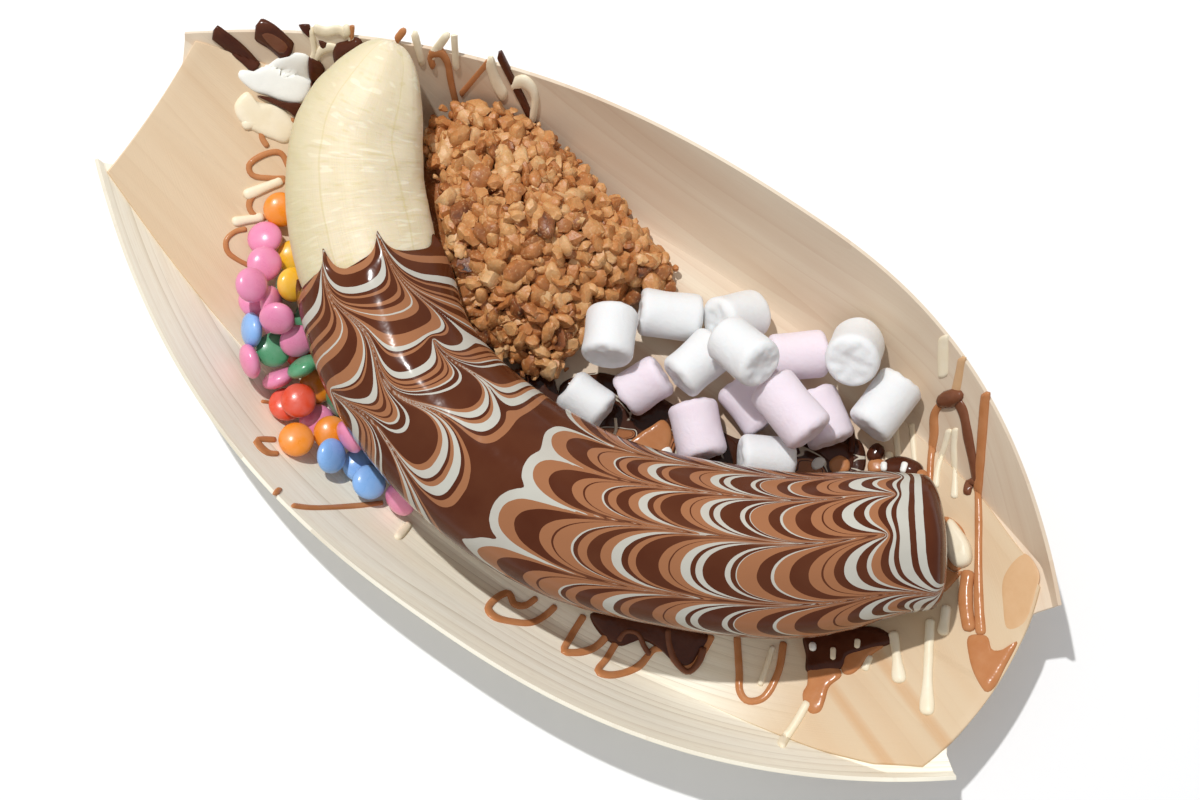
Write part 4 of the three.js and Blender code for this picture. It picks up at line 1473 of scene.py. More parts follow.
BEADS = (
    Bead(DARK, 2.9, 0.5, (
        (-106.8, 21.8), (-102.4, 21.9), (-99.4, 21.8), (-96, 21.3),
    ), lift=0.2, blunt=True),
    Bead(DARK, 4.4, 0.5, ((-99.6, 27.6), (-96.2, 28), (-91.2, 27.9)), blunt=True),
    Bead(CREAM, 1.3, 0.5, ((-89.8, 34), (-88.4, 32.6), (-87.3, 31), (-87.4, 28.6))),
    Bead(CREAM, 1.4, 0.5, ((-89.1, 34.2), (-86.4, 35.2), (-84.2, 37), (-82.1, 37.2))),
    Bead(CREAM, 1.3, 0.5, (
        (-82.1, 37.4), (-80.4, 36.8), (-82.5, 34.7), (-84.9, 33.5), (-86.2, 32.1), (-86.9, 29.7),
    )),
    Bead(DARK, 3.6, 2.2, ((-83.6, 32.6), (-80.4, 35.6), (-78.3, 37.8))),
    Bead(CREAM, 1.6, 0.9, ((-83.4, 38.6), (-81.9, 37.4))),
    Bead(MILK, 1.1, 0.5, ((-82, 39.4), (-81.1, 36.6))),
    Bead(MILK, 1.3, 0.5, ((-71.8, 44.9), (-73, 42.0))),
    Bead(CREAM, 1.5, 0.5, ((-63.2, 49.2), (-65.6, 43.6))),
    Bead(CREAM, 1.5, 0.5, ((-62.4, 49.6), (-59.6, 45.2))),
    Bead(CREAM, 1.6, 0.4, ((-70.2, 45.4), (-66.2, 42.0))),
    Bead(MILK, 1.4, 0.55, (
        (-63.9, 43), (-65.5, 44.1), (-63.9, 45.7), (-62, 45.4), (-60.1, 43.4), (-56.6, 40.2),
    )),
    Bead(MILK, 1.0, 0.3, ((-53.9, 49.9), (-55.5, 46.8), (-57.5, 42.5))),
    Bead(CREAM, 2.2, 0.5, ((-54.3, 50.3), (-51, 48.2), (-48, 47.2))),
    Bead(DARK, 1.3, 0.9, ((-52.6, 51.9), (-47.6, 50), (-43.2, 48.2), (-37.6, 45))),
    Bead(CREAM, 1.7, 1.0, ((-48.2, 49.4), (-45.6, 51.3), (-42.7, 50.8), (-41.0, 46.6))),
    Bead(MILK, 1.3, 0.65, ((-84.0, 17.6), (-86.7, 15.4), (-88.7, 12.2), (-87.9, 10.2), (-85.6, 9.1))),
    Bead(MILK, 1.3, 0.65, (
        (-79.6, 8.2), (-83, 9.8), (-85.3, 7.7), (-86.7, 3.4), (-85.1, 2.2), (-81.6, 4.1), (-79, 6.1),
    )),
    Bead(MILK, 1.3, 0.65, (
        (-78.8, 6), (-81.1, 2.1), (-82.5, -1.4), (-81.8, -3.9), (-79.3, -4.7), (-76.7, -2.1),
    )),
    Bead(MILK, 1.2, 0.55, (
        (-79.4, -8), (-81.1, -10.3), (-81.4, -13), (-79.7, -14.8), (-77.1, -14.9), (-74.4, -14.4),
    )),
    Bead(CREAM, 2.2, 1.0, ((-92.6, 9.4), (-89.4, 13.4))),
    Bead(CREAM, 2.3, 1.0, ((-84.0, -2.8), (-79.4, 5.4))),
    Bead(CREAM, 2.0, 0.9, ((-82.8, -9), (-78, -3.6))),
    Bead(MILK, 1.4, 0.5, ((-43.8, -44.7), (-45.5, -46), (-49, -45.1), (-46.6, -42.5))),
    Bead(MILK, 0.9, 0.4, ((-55.2, -37.6), (-53.1, -36.1))),
    Bead(MILK, 1.2, 0.5, ((-33.6, -52.4), (-30.7, -50.5), (-26, -46), (-20.6, -40.4))),
    Bead(MILK, 1.1, 0.45, ((-37.9, -50.6), (-37.3, -52.4))),
    Bead(CREAM, 1.8, 0.9, ((-13.2, -45.6), (-13.4, -40.6))),
    Bead(MILK, 1.5, 0.65, (
        (19, -38.3), (17.6, -41.6), (15.6, -42.5), (13.3, -41.2), (11.9, -43.3), (11.8, -46.5), (14, -47.3),
        (17.9, -45.9), (21.1, -43.8), (22.7, -40.5), (23.4, -37.4),
    )),
    Bead(MILK, 1.6, 0.65, (
        (29.6, -35.6), (29.9, -41.7), (30.5, -44.8), (33, -43.5), (35.2, -40.9), (36.1, -38), (36, -33.8),
    )),
    Bead(MILK, 1.6, 0.65, (
        (38.6, -34.6), (39, -40.7), (39, -44.2), (41.1, -43.8), (43.9, -41.3), (45.8, -37.9), (46.1, -35.3),
        (46.5, -33.2), (49.4, -31),
    )),
    Bead(BROWN, 1.5, 0.9, (
        (46.3, -27.8), (48.6, -30.7), (51.9, -32.9), (55.3, -33.2), (56, -30.1), (55, -26.6),
    ), lift=0.5),
    Bead(BROWN, 1.2, 0.8, ((39, -36.5), (39.2, -33.7), (41.6, -32.6), (44.2, -34), (46.5, -35)), lift=0.6),
    Bead(MILK, 1.8, 0.7, (
        (48, -28.6), (50.6, -32.2), (53.8, -32.9), (55.5, -31.2), (55.4, -27.2), (55.1, -23.4),
    )),
    Bead(MILK, 1.6, 0.65, (
        (59.6, -20.6), (64.4, -27), (66.9, -30.5), (69.2, -31.2), (71.6, -28.9), (71.3, -22.5), (68.6, -16),
    )),
    Bead(WHITE, 1.5, 0.7, ((74, -12.9), (75.2, -14.6)), lift=1.0),
    Bead(CREAM, 1.3, 0.6, ((78.2, -11.4), (79.7, -13.9)), lift=1.0),
    Bead(CREAM, 1.3, 0.6, ((81.5, -7), (82.5, -9)), lift=1.0),
    Bead(CREAM, 1.5, 0.7, ((85.2, -8.4), (86, -12.2)), 1.2),
    Bead(CREAM, 1.3, 0.8, ((67.3, -18), (68.7, -23.1), (69.7, -27.2))),
    Bead(CREAM, 1.9, 1.0, ((79.8, -24), (80.1, -30), (79.8, -35.8)), 1.1),
    Bead(CREAM, 2.1, 0.9, ((86.3, -1.4), (89.7, -5.5), (93.4, -10.4)), 1.4),
    Bead(CREAM, 2.0, 0.9, ((91.3, 5.1), (95.6, -2.8), (101.3, -13.1)), 1.5),
    Bead(CREAM, 2.2, 1.0, ((92.5, 9.4), (94.1, 5.9), (95.3, 3.1)), 1.1),
    Bead(MILK, 1.5, 0.7, ((68.2, 46.8), (68, 43.4), (70.8, 39.3), (73.4, 34.1), (76.6, 28.6)), 0.9),
    Bead(BROWN, 1.5, 0.7, ((68.8, 47), (71.9, 45.8), (77, 41.3), (83.6, 35.2)), 0.9),
    Bead(BROWN, 1.7, 0.8, ((83.4, 35.6), (82.6, 34.2), (83.5, 31.6))),
    Bead(BROWN, 3.6, 1.6, ((67.4, 44.8), (68.8, 46.6), (71, 46.4))),
    Bead(STAIN, 1.5, 0.3, ((65.4, 53.6), (67.6, 50), (69.4, 46.8))),
    Bead(CREAM, 1.2, 0.5, ((72.4, 41.8), (74, 38.1), (75.5, 33.4), (77.3, 29.7)), 1.2),
    Bead(CREAM, 1.0, 0.5, ((73.2, 42.4), (75.4, 39.2), (78.5, 35.2), (81.8, 29.7)), 1.5),
    Bead(CREAM, 1.8, 0.4, ((59.6, 55.4), (65.1, 49.1))),
    Bead(MILK, 1.5, 0.7, (
        (73.6, 50), (78.2, 43.5), (82.5, 37.3), (88.3, 28.4), (97.1, 14), (101.6, 7.4),
    ), 1.3),
    Bead(MILK, 2.9, 1.2, ((92.2, 18.2), (95.2, 12.2), (99.4, 6.8)), 0.9),
    Bead(CREAM, 1.4, 0.4, ((62.2, 38), (67.3, 31.2))),
    Bead(CREAM, 1.2, 0.4, ((65.3, 39.6), (71.2, 31.6))),
    Bead(CREAM, 1.8, 0.9, ((64.9, 31.6), (66.3, 29.2)), lift=0.5),
    Bead(DARK, 1.6, 0.9, ((54.3, 32), (56.7, 29.3), (58.4, 26.2)), lift=0.5),
    Bead(DARK, 3.4, 1.4, ((63.2, 31.9), (62.6, 30), (62.9, 27.5)), lift=0.4),
    Bead(CREAM, 0.8, 0.4, ((10.6, 4.0), (12.4, 1.6), (12.9, -1.4)), lift=1.4),
    Bead(DARK, 5.2, 3.2, ((66, 26.6), (69.2, 29.6), (73.8, 30.4))),
    Bead(MILK, 2.8, 2.4, ((72.8, 31.6), (75.2, 28.8)), lift=0.3),
    Bead(WHITE, 1.5, 0.6, ((65.8, 28.8), (67, 26.8)), lift=2.8),
    Bead(WHITE, 1.5, 0.6, ((69.8, 31.2), (70.6, 28.6)), lift=2.9),
)

PUDDLES = (
    Puddle(WHITE, 0.9, (
        (-98.8, 18.7), (-97, 20.4), (-95.5, 22.4), (-93.7, 25.6), (-90.6, 28.8), (-88, 29.8), (-87, 27.9),
        (-85.2, 25.3), (-85.1, 21.5), (-88.5, 19.1), (-91.6, 18.1), (-94.6, 17), (-98.4, 17.5),
    )),
    Puddle(CREAM, 1.0, (
        (-95.9, 12), (-95.3, 16.2), (-92.6, 15.8), (-89.1, 17.7), (-84.9, 17.4), (-82.9, 15.9),
        (-83.1, 12.3), (-85.9, 11.1), (-88.4, 10.4), (-93.2, 10),
    )),
    Puddle(DARK, 0.6, (
        (-93.4, 16.7), (-91.3, 18.1), (-88.3, 19.2), (-84.7, 21.3), (-83.9, 18.2), (-86.4, 18.1),
        (-89.9, 17.4),
    ), lift=0.6),
    Puddle(DARK, 0.6, ((-88, 29.8), (-84.4, 30.1), (-85.1, 25.2)), lift=0.4),
    Puddle(DARK, 0.5, ((-91.8, 32.9), (-89.8, 34.3), (-88.8, 32.6))),
    Puddle(DARK, 0.5, ((-87.3, 33.2), (-85.2, 33.8), (-86, 32.4))),
    Puddle(BROWN, 0.2, ((-98, 27.3), (-96.4, 28.6), (-92.4, 28.8), (-93.2, 27)), lift=0.4),
    Puddle(DARK, 1.1, (
        (30.5, -34.9), (33.9, -32.1), (41.9, -28.2), (52.1, -23.9), (55.7, -24.5), (55.4, -28.7),
        (55.1, -32.3), (52.1, -33.3), (47.6, -32.7), (42.7, -33.4), (39.9, -37), (34.8, -37.3),
    )),
    Puddle(MILK, 0.7, (
        (75.6, -16.8), (77.7, -21.3), (77.9, -23.3), (79.5, -25.2), (81.7, -26), (83, -24.6), (82.6, -22),
        (81.8, -19), (82.6, -15.4), (79, -14),
    )),
    Puddle(MILK, 0.8, ((80.4, -11), (82.6, -15), (84.2, -14.2), (85.6, -8), (86.6, -5), (84, -5))),
    Puddle(DARK, 1.1, (
        (71.3, -12.4), (74.2, -16.2), (76.2, -19), (79.5, -16.6), (82, -14), (81.6, -11.9), (84.3, -8.2),
        (87.6, -3.3), (84, -2.4), (76, -7.6),
    )),
    Puddle(MILK, 0.5, (
        (99.6, 6), (101.8, 2.4), (105.2, -0.7), (108.6, -2.2), (109.4, -0.5), (109, 4.1), (108.1, 10.4),
        (107.1, 7.9), (105, 6.1), (102.6, 8),
    )),
    Puddle(STAIN, 0.12, (
        (98.7, 20.9), (99.6, 27), (104, 25), (105.6, 21.4), (107.2, 14), (105.3, 11.3), (102, 15),
    )),
    Puddle(MILK, 0.9, (
        (82, 25.4), (83.2, 21.4), (85.4, 18.6), (88, 16.5), (90.4, 16.4), (91, 19.4), (89, 23), (86, 25.4),
    )),
    Puddle(CREAM, 1.8, (
        (83.4, 25.6), (84.2, 22.2), (86, 19.7), (88.5, 17.6), (90.5, 17.4), (91.9, 19.5), (90.6, 22.2),
        (86.9, 24.6),
    ), lift=0.5),
    Puddle(MILK, 0.6, ((87.6, 15.8), (90.2, 16.2), (91.4, 17.3), (91.2, 13.8), (90.6, 11.3))),
    Puddle(DARK, 1.4, ((47.5, 21.1), (51.2, 25.5), (56.7, 28.5), (60.4, 25), (59.7, 22.2), (51.4, 16.5))),
    Puddle(MILK, 0.8, ((55.1, 22.2), (56.3, 24.9), (59.1, 24.9), (60, 22.8), (57, 20.6)), lift=1.2),
    Puddle(WHITE, 0.7, ((52, 19.8), (52.3, 21.7), (54.2, 22.4), (54.7, 20.6), (53.2, 18.8)), lift=1.3),
    Puddle(MILK, 1.1, ((62.4, 27.2), (64, 29), (66, 29), (66.6, 27.2), (63.9, 25.2)), lift=0.4),
    Puddle(MILK, 0.6, (
        (16.4, 0.4), (17, 3.6), (18.4, 6.9), (19.6, 9.4), (21.7, 9.1), (23.8, 6.8), (24.3, 3.6),
        (21.2, 1.3),
    ), lift=1.4),
    Puddle(WHITE, 0.5, ((22.9, 3.6), (24.1, 5.2), (25.7, 4.4), (25.1, 2.2)), lift=1.5),
)


@dataclass
class Drizzles:
    """Everything that was poured on the veneer, as one piece for each sauce."""

    form: BoatForm
    across: int = 14
    step: float = 0.55
    bunched: float = 0.4
    waver: Layer = (0.16, 4.0, 11)
    drops_over: Pair = (0.55, 0.9)
    sink: float = 0.35
    bedded: float = 0.04
    rings: int = 7
    border_step: float = 0.7
    blunt_end: float = 0.3

    def _lay(self, plan: Points, height: Points) -> Points:
        """Lays places on the veneer.

        Args:
            plan: The places in plan.
            height: How far above the veneer each lies.

        Returns:
            The places.
        """
        x, y = plan[..., 0], plan[..., 1]
        ground = np.stack([x, y, self.form.floor(x, y)], axis=-1)
        return ground + self.form.normal(x, y) * height[..., None]

    def _bead(self, bead: Bead, number: int) -> Piece:
        """Makes one bead, rounded at both ends and bedded into the veneer.

        Args:
            bead: Which bead.
            number: Chooses how its width wavers.

        Returns:
            The piece.
        """
        line = SmoothLine(bead.through)
        rows = max(9, int(line.length / self.step))
        at_ends = (1 - np.cos(np.linspace(0.0, np.pi, rows))) / 2
        share = mix(np.linspace(0.0, 1.0, rows), at_ends, self.bunched)
        distance = share * line.length
        centre = line.at(distance)
        tangent = line.tangent(distance)
        side = np.stack([-tangent[:, 1], tangent[:, 0]], axis=-1)
        spread = 1 + dents(centre + number, self.waver)
        wide = bead.width / 2 * spread * mix(1.0, bead.drop, smoothstep(share, *self.drops_over))
        round_off = wide * (self.blunt_end if bead.blunt else 1.0)
        to_end = np.minimum(distance, line.length - distance) / np.maximum(round_off, 0.2)
        full = np.sqrt(np.clip(1 - (1 - np.clip(to_end, 0, 1)) ** 2, 0.0, 1.0))
        turn = np.linspace(0.0, 2 * np.pi, self.across + 1)[None, :]
        reach = (wide * full)[:, None] * np.cos(turn)
        plan = centre[:, None, :2] + side[:, None, :] * reach[..., None]
        crest = (bead.height * full**0.8)[:, None] * np.maximum(np.sin(turn), 0.0) ** 0.7
        height = np.where(np.sin(turn) < -1e-6, -self.sink, crest) - self.bedded + bead.lift
        return add_grid("bead", close_up(self._lay(plan, height), ends=True))

    def _puddle(self, puddle: Puddle) -> Piece:
        """Makes one puddle with a rounded border.

        Args:
            puddle: Which puddle.

        Returns:
            The piece.
        """
        outline = SmoothLine(puddle.outline, closed=True)
        around = np.linspace(0.0, outline.length, int(outline.length / self.border_step))
        border = outline.at(around)[None, :, :2]
        centre = border[:, :-1].mean(axis=1, keepdims=True)
        share = 1 - (1 - np.linspace(0.0, 1.0, self.rings + 1)) ** 1.6
        top = puddle.height * np.sqrt(1 - share**6) - self.bedded
        shares = np.concatenate([share, [1.0, 0.0]])[:, None]
        plan = centre + (border - centre) * shares[..., None]
        height = np.concatenate([top, [-self.sink, -self.sink]])[:, None] + puddle.lift
        return add_grid("puddle", close_up(self._lay(plan, height + np.zeros(border.shape[1]))))

    def build(self) -> None:
        """Makes and dresses the pieces."""
        for sauce in Sauce:
            parts = [self._bead(bead, i) for i, bead in enumerate(BEADS) if bead.sauce is sauce]
            parts += [self._puddle(puddle) for puddle in PUDDLES if puddle.sauce is sauce]
            piece = join(sauce.value.name, parts)
            weld(piece)
            shade(piece, 70.0)
            hand_over(piece, sauce.value.build(), "chocolate_sauce", "boat")


@dataclass(frozen=True)
class PoolFinish:
    """Dark sauce with lobes of milk and threads of white chocolate, very glossy."""

    def build(self) -> Material:
        """Makes the material.

        Returns:
            The material.
        """
        shader = Shader("chocolate_sauce")
        swirl = shader.noise(62.0, 1.0, 2.2, at=shader.stretch(shader.place(), (0.7, 1.0, 0.3)))
        milk = swirl.between(0.575, 0.585)
        white = swirl.between(0.535, 0.54) * (1.0 - swirl.between(0.552, 0.557))
        vein = swirl.between(0.6, 0.604) * (1.0 - swirl.between(0.61, 0.614))
        colour = shader.blend(milk, srgb(68, 37, 24), srgb(166, 106, 66))
        colour = shader.blend(white, colour, srgb(205, 196, 178))
        colour = shader.blend(vein, colour, srgb(60, 30, 20))
        normal = shader.bump(shader.noise(300.0, 2.0), 0.3)
        return shader.finish(colour, 0.12, Normal=normal, IOR=1.3)


@dataclass
class SaucePool:
    """The sauce that ran down the far side of the banana and lies under the marshmallows, and its thin film.

    The pool narrows to the first number of narrows at its ends, and widens from there at the rate of the
    second. The square powers set how boxy its section is, across and up. The film's shares and heights run
    from its middle out over the border and back underneath.
    """

    banana: BananaForm
    boat: BoatForm
    run_from: float = 0.42
    run_to: float = 0.95
    inner: float = 7.0
    spread: float = 25.0
    wave: float = 3.0
    waves: float = 23.0
    narrows: Pair = (0.45, 5.0)
    low: float = 0.15
    high: float = 1.6
    square: Pair = (0.55, 0.35)
    end_rounding: float = 2.5
    unevenness: Layer = (0.25, 7.0, 21)
    rows: int = 150
    columns: int = 44
    film_outline: tuple[Plan, ...] = (
        (-3.5, 3), (2.1, 10.4), (11.1, 13), (26.5, 14.1), (40.5, 16.9), (47.2, 22.9), (58.1, 30.3),
        (62.6, 24.1), (47.7, 12.1), (32.7, 2.9), (16.2, -3.4), (1.5, -1.3),
    )
    film_height: float = 0.7
    film_reach: float = 66.0
    film_ends: Pair = (0.05, 0.95)
    film_shift: float = 5.0
    film_shares: tuple[float, ...] = (0.0, 0.3, 0.6, 0.8, 0.92, 1.0, 1.0, 0.0)
    film_heights: tuple[float, ...] = (1.0, 1.0, 1.0, 0.97, 0.8, 0.2, -0.4, -0.4)
    film_unevenness: Layer = (0.15, 6.0, 23)
    film_columns: int = 160

    def build(self) -> None:
        """Makes and dresses the pool."""
        line = self.banana.line
        run = np.linspace(0.0, 1.0, self.rows)[:, None]
        along = mix(self.run_from, self.run_to, run) * line.length
        centre = line.at(along)
        away = -unit(np.cross(line.tangent(along), (0.0, 0.0, 1.0)))
        narrowest, widens = self.narrows
        taper = np.minimum(1.0, narrowest + widens * run * (1 - run))
        outer = self.inner + (self.spread - self.inner + self.wave * np.sin(self.waves * run)) * taper
        turn = np.linspace(0.0, 2 * np.pi, 2 * self.columns + 1)[None, :]
        across = np.sign(np.cos(turn)) * np.abs(np.cos(turn)) ** self.square[0]
        out = mix(self.inner, outer, 0.5 + 0.5 * across)
        ends = np.minimum(run, 1 - run) * (self.run_to - self.run_from) * line.length
        full = np.sqrt(np.clip(1 - (1 - np.clip(ends / self.end_rounding, 0, 1)) ** 2, 0.02, 1.0))
        plan = centre[:, 0, None, :2] + away[:, 0, None, :2] * out[..., None]
        x, y = plan[..., 0], plan[..., 1]
        middle = (self.low + self.high) / 2
        swell = np.sign(np.sin(turn)) * np.abs(np.sin(turn)) ** self.square[1] * full
        height = middle + (self.high - self.low) / 2 * swell
        places = np.stack([x, y, self.boat.floor(x, y) + height], axis=-1)
        places[..., 2] += np.where(np.sin(turn) > 0.05, dents(places, self.unevenness), 0.0)
        pool = add_body("sauce_pool_surface", close_up(places, ends=True))
        material = PoolFinish().build()
        hand_over(pool, material, "chocolate_sauce", "sauce_pool")
        self._film(material)

    def _film(self, material: Material) -> None:
        """Makes and dresses the film between the banana and the marshmallows.

        Args:
            material: The pool's material.
        """
        outline = SmoothLine(self.film_outline, closed=True)
        border = outline.at(np.linspace(0.0, outline.length, self.film_columns + 1))
        middle = SmoothLine(self.film_outline[:1] + self.film_outline[6:7])
        reached = (border[:, 0] - self.film_outline[0][0]) / self.film_reach
        spine = middle.at(np.clip(reached, *self.film_ends) * middle.length) - (0.0, self.film_shift, 0.0)
        places = spine + (border - spine) * np.array(self.film_shares)[:, None, None]
        height = self.film_height * np.array(self.film_heights)[:, None]
        places[..., 2] = self.boat.floor(places[..., 0], places[..., 1]) + height
        places[..., 2] += dents(places, self.film_unevenness) * (height > 0.5)
        film = add_body("sauce_film", close_up(places), 70.0)
        hand_over(film, material, "chocolate_sauce", "boat")


# ---- nuts


@dataclass(frozen=True)
class NutFinish:
    """Roasted, sugared nuts: every piece has its own tone, with paler sugary patches and dark specks."""

    pale: Colour = srgb(208, 154, 98)
    gold: Colour = srgb(184, 118, 64)
    brown: Colour = srgb(132, 76, 40)
    burnt: Colour = srgb(46, 32, 34)
    sugar: Colour = srgb(232, 196, 150)

    def build(self) -> Material:
        """Makes the material.

        Returns:
            The material.
        """
        shader = Shader("chopped_nuts")
        # The tint is each loose piece's own roast tone; on the core it is kept low as painted shade.
        tint = shader.number("tint")
        blotch = shader.noise(420.0, 3.0)
        grain = shader.noise(1500.0, 2.0)
        tone = tint * 0.75 + blotch * 0.4 - 0.08
        stops = [(0.0, self.burnt), (0.1, self.brown), (0.36, self.gold), (0.7, self.pale), (1.0, self.sugar)]
        colour = shader.ramp(tone, stops)
        colour = shader.blend(grain.between(0.6, 0.75) * 0.3, colour, self.brown)
        colour = shader.blend((1.0 - grain.between(0.3, 0.42)) * 0.4, colour, self.sugar)
        normal = shader.bump(blotch * 0.6 + grain * 0.4, 0.35)
        return shader.finish(
            colour, blotch * 0.3 + 0.32, Normal=normal, Subsurface_Weight=0.08, Subsurface_Scale=0.002
        )


@dataclass(frozen=True)
class Chop:
    """One size of chopped nuts: its piece, how many, their widths, and how far out over the heap they lie."""

    name: str
    count: int
    widths: Pair
    reach: float


@dataclass
class NutHeap:
    """The heap of chopped nuts: a rough core, kept dark as painted shade, under hundreds of loose pieces.

    The widths and the tones spread between their limits as a beta distribution does. Buried is the least
    height of a nut's centre over the veneer, as a share of its width, and its least way from the glaze.
    """

    banana: BananaForm
    boat: BoatForm
    finish: NutFinish = field(default_factory=NutFinish)
    centre: Colour = (-30.0, 25.0, 21.0)
    fall: float = 1.8
    outline: tuple[Colour, ...] = (
        (-58, 31, 13), (-55, 40, 14.5), (-42, 45.5, 14), (-33, 45.5, 11.5), (-21, 43.5, 7), (-9, 41.5, 4.5),
        (4.5, 36.5, 3.6), (0, 29, 4.5), (-4.5, 21, 6), (-5, 12, 6.5), (-6, 4, 6.5), (-19, 1, 9),
        (-33, 4, 12), (-45, 12, 14), (-54, 23, 14),
    )
    kinds: int = 16
    cuts: tuple[int, ...] = (0, 3, 1, 4)
    cut_depth: Pair = (0.26, 0.46)
    blank_radius: float = 0.62
    blank_dents: Pair = (0.28, 0.55)
    blank_grain: float = 0.02
    proportions: Pair = (1.25, 1.0)
    flatness: Pair = (0.55, 0.95)
    pieces: Chop = Chop("nut_pieces", 640, (2.3, 4.7), 1.0)
    crumbs: Chop = Chop("nut_crumbs", 420, (0.9, 2.0), 1.05)
    width_spread: Pair = (1.6, 2.2)
    tone_spread: Pair = (2.2, 1.9)
    tone_waver: float = 0.05
    dark_share: float = 0.035
    turn_jitter: float = 0.004
    plan_jitter: float = 0.5
    stacked: Pair = (-2.1, 1.2)
    buried: float = 0.35
    off_banana: float = 2.2
    core_rows: int = 40
    core_skirt: int = 6
    core_columns: int = 160
    core_reach: float = 0.97
    core_below: float = 2.2
    core_above_veneer: float = 0.5
    core_lumps: Layer = (1.1, 2.6, 8)
    core_shade_tint: Layer = (0.1, 3.0, 9)
    burnt: tuple[Plan, ...] = (
        (-41.8, 19.8), (-23.5, 29.9), (-32.5, 4.8), (-21, 9.4), (-7.7, 10.5), (-32.8, 9.9),
    )
    burnt_within: float = 2.5
    burnt_width: float = 4.6
    seed: int = 11

    def _top(self, share: Points, around: Points) -> Points:
        """Finds points on the heap.

        Args:
            share: Shares of the way from its middle to its edge.
            around: Shares of the way round it.

        Returns:
            The places.
        """
        edge = self.edge.at(np.mod(around, 1.0) * self.edge.length)
        centre = np.array(self.centre)
        share = np.asarray(share)[..., None]
        places = centre + (edge - centre) * share
        places[..., 2] = (centre[2] + (edge[..., 2:] - centre[2]) * share**self.fall)[..., 0]
        return places

    def _core(self) -> Piece:
        """Makes the rough core, a little lower than the pieces that cover it, and dark as painted shade in
        the gaps between them.

        Returns:
            The piece.
        """
        reach, rows, skirt = self.core_reach, self.core_rows, self.core_skirt
        shares = np.concatenate([np.linspace(0.0, reach, rows), np.full(skirt, reach)])[:, None]
        around = np.linspace(0.0, 1.0, self.core_columns + 1)[None, :]
        places = self._top(shares + 0 * around, around + 0 * shares)
        ground = self.boat.floor(places[..., 0], places[..., 1]) + self.core_above_veneer
        down = np.concatenate([np.zeros(rows), np.linspace(0.2, 1.0, skirt)])[:, None]
        places[..., 2] = mix(places[..., 2] - self.core_below, ground, down)
        lumps = dents(places, self.core_lumps) * (1 - down)
        lumps[0] = 0.0
        places[..., 2] = np.maximum(places[..., 2] + lumps, ground)
        places = close_up(np.concatenate([places, places[-1:].mean(axis=1, keepdims=True) + 0 * places[-1:]]))
        # Painted shade: a tint near 0.09 puts the core near the burnt end of the nut ramp, so the gaps
        # between pieces read dark.
        return add_body("nut_core", places, 50.0, tint=0.09 + dents(places, self.core_shade_tint))

    def _variants(self, rng: np.random.Generator) -> list[tuple[Points, Points]]:
        """Chips a few round blanks into broken nuts.

        Args:
            rng: The random numbers.

        Returns:
            The vertices and triangles of each, about one unit across.
        """
        found = []
        for kind in range(self.kinds):
            bpy.ops.object.select_all(action="DESELECT")
            bpy.ops.mesh.primitive_ico_sphere_add(subdivisions=2, radius=self.blank_radius)
            blank = name_piece("nut_blank")
            with editing(blank):
                for _ in range(self.cuts[kind % len(self.cuts)]):
                    direction = Vector(unit(rng.normal(size=3)))
                    bpy.ops.mesh.select_all(action="SELECT")
                    bpy.ops.mesh.bisect(
                        plane_co=direction * rng.uniform(*self.cut_depth),
                        plane_no=direction,
                        clear_outer=True,
                        use_fill=True,
                    )
                bpy.ops.mesh.select_all(action="SELECT")
                bpy.ops.mesh.quads_convert_to_tris()
            points = read_vertices(blank, "co")
            points *= 1 + dents(points, (*self.blank_dents, kind))[:, None]
            points += self.blank_grain * rng.normal(size=points.shape)
            triangles = np.array([list(face.vertices) for face in blank.data.polygons])
            bpy.data.objects.remove(blank)
            found.append((points, triangles))
        return found

    def _scatter(self, name: str, variants: Sequence[Any], nuts: Points, rng: np.random.Generator) -> Piece:
        """Joins many turned copies of the variants into one piece.

        Args:
            name: The piece's name.
            variants: Vertices and triangles of each kind.
            nuts: A row for each copy: its centre, its width and its tone, from 0 for burnt to 1 for pale.
            rng: The random numbers.

        Returns:
            The piece.
        """
        vertices, faces, tones = [], [], []
        count = 0
        for nut in nuts:
            points, triangles = variants[int(rng.integers(len(variants)))]
            turn = np.array(Euler(rng.uniform(0, 2 * np.pi, 3)).to_matrix())
            scale = nut[3] * np.array([*self.proportions, rng.uniform(*self.flatness)])
            vertices.append((points * scale) @ turn.T + nut[:3])
            faces.append(triangles + count)
            tones.append(nut[4] + self.tone_waver * rng.normal(size=len(points)))
            count += len(points)
        mesh = bpy.data.meshes.new(name)
        mesh.from_pydata((np.vstack(vertices) * MM).tolist(), [], np.vstack(faces).tolist())
        piece = put_in_scene(name, mesh)
        set_numbers(piece, "tint", np.concatenate(tones))
        with editing(piece, whole=True):
            bpy.ops.mesh.normals_make_consistent(inside=False)
        shade(piece, 32.0)
        return piece

    def _char(self, nuts: Points, clear: Points) -> None:
        """Burns the top nut nearest to each listed place, and makes it large.

        Args:
            nuts: A row for each nut: its centre, its width and its tone. The burnt ones' rows change.
            clear: Which of them lie clear of the banana.
        """
        for place in self.burnt:
            away = np.linalg.norm(nuts[:, :2] - place, axis=1)
            # Nuts that are buried in the banana come last, and those too far away just before them.
            unfit = np.where(clear, 0.0, 99.0) + np.where(away > self.burnt_within, 50.0, 0.0)
            nuts[np.argmin(away - nuts[:, 2] + unfit), 3:] = self.burnt_width, 0.0

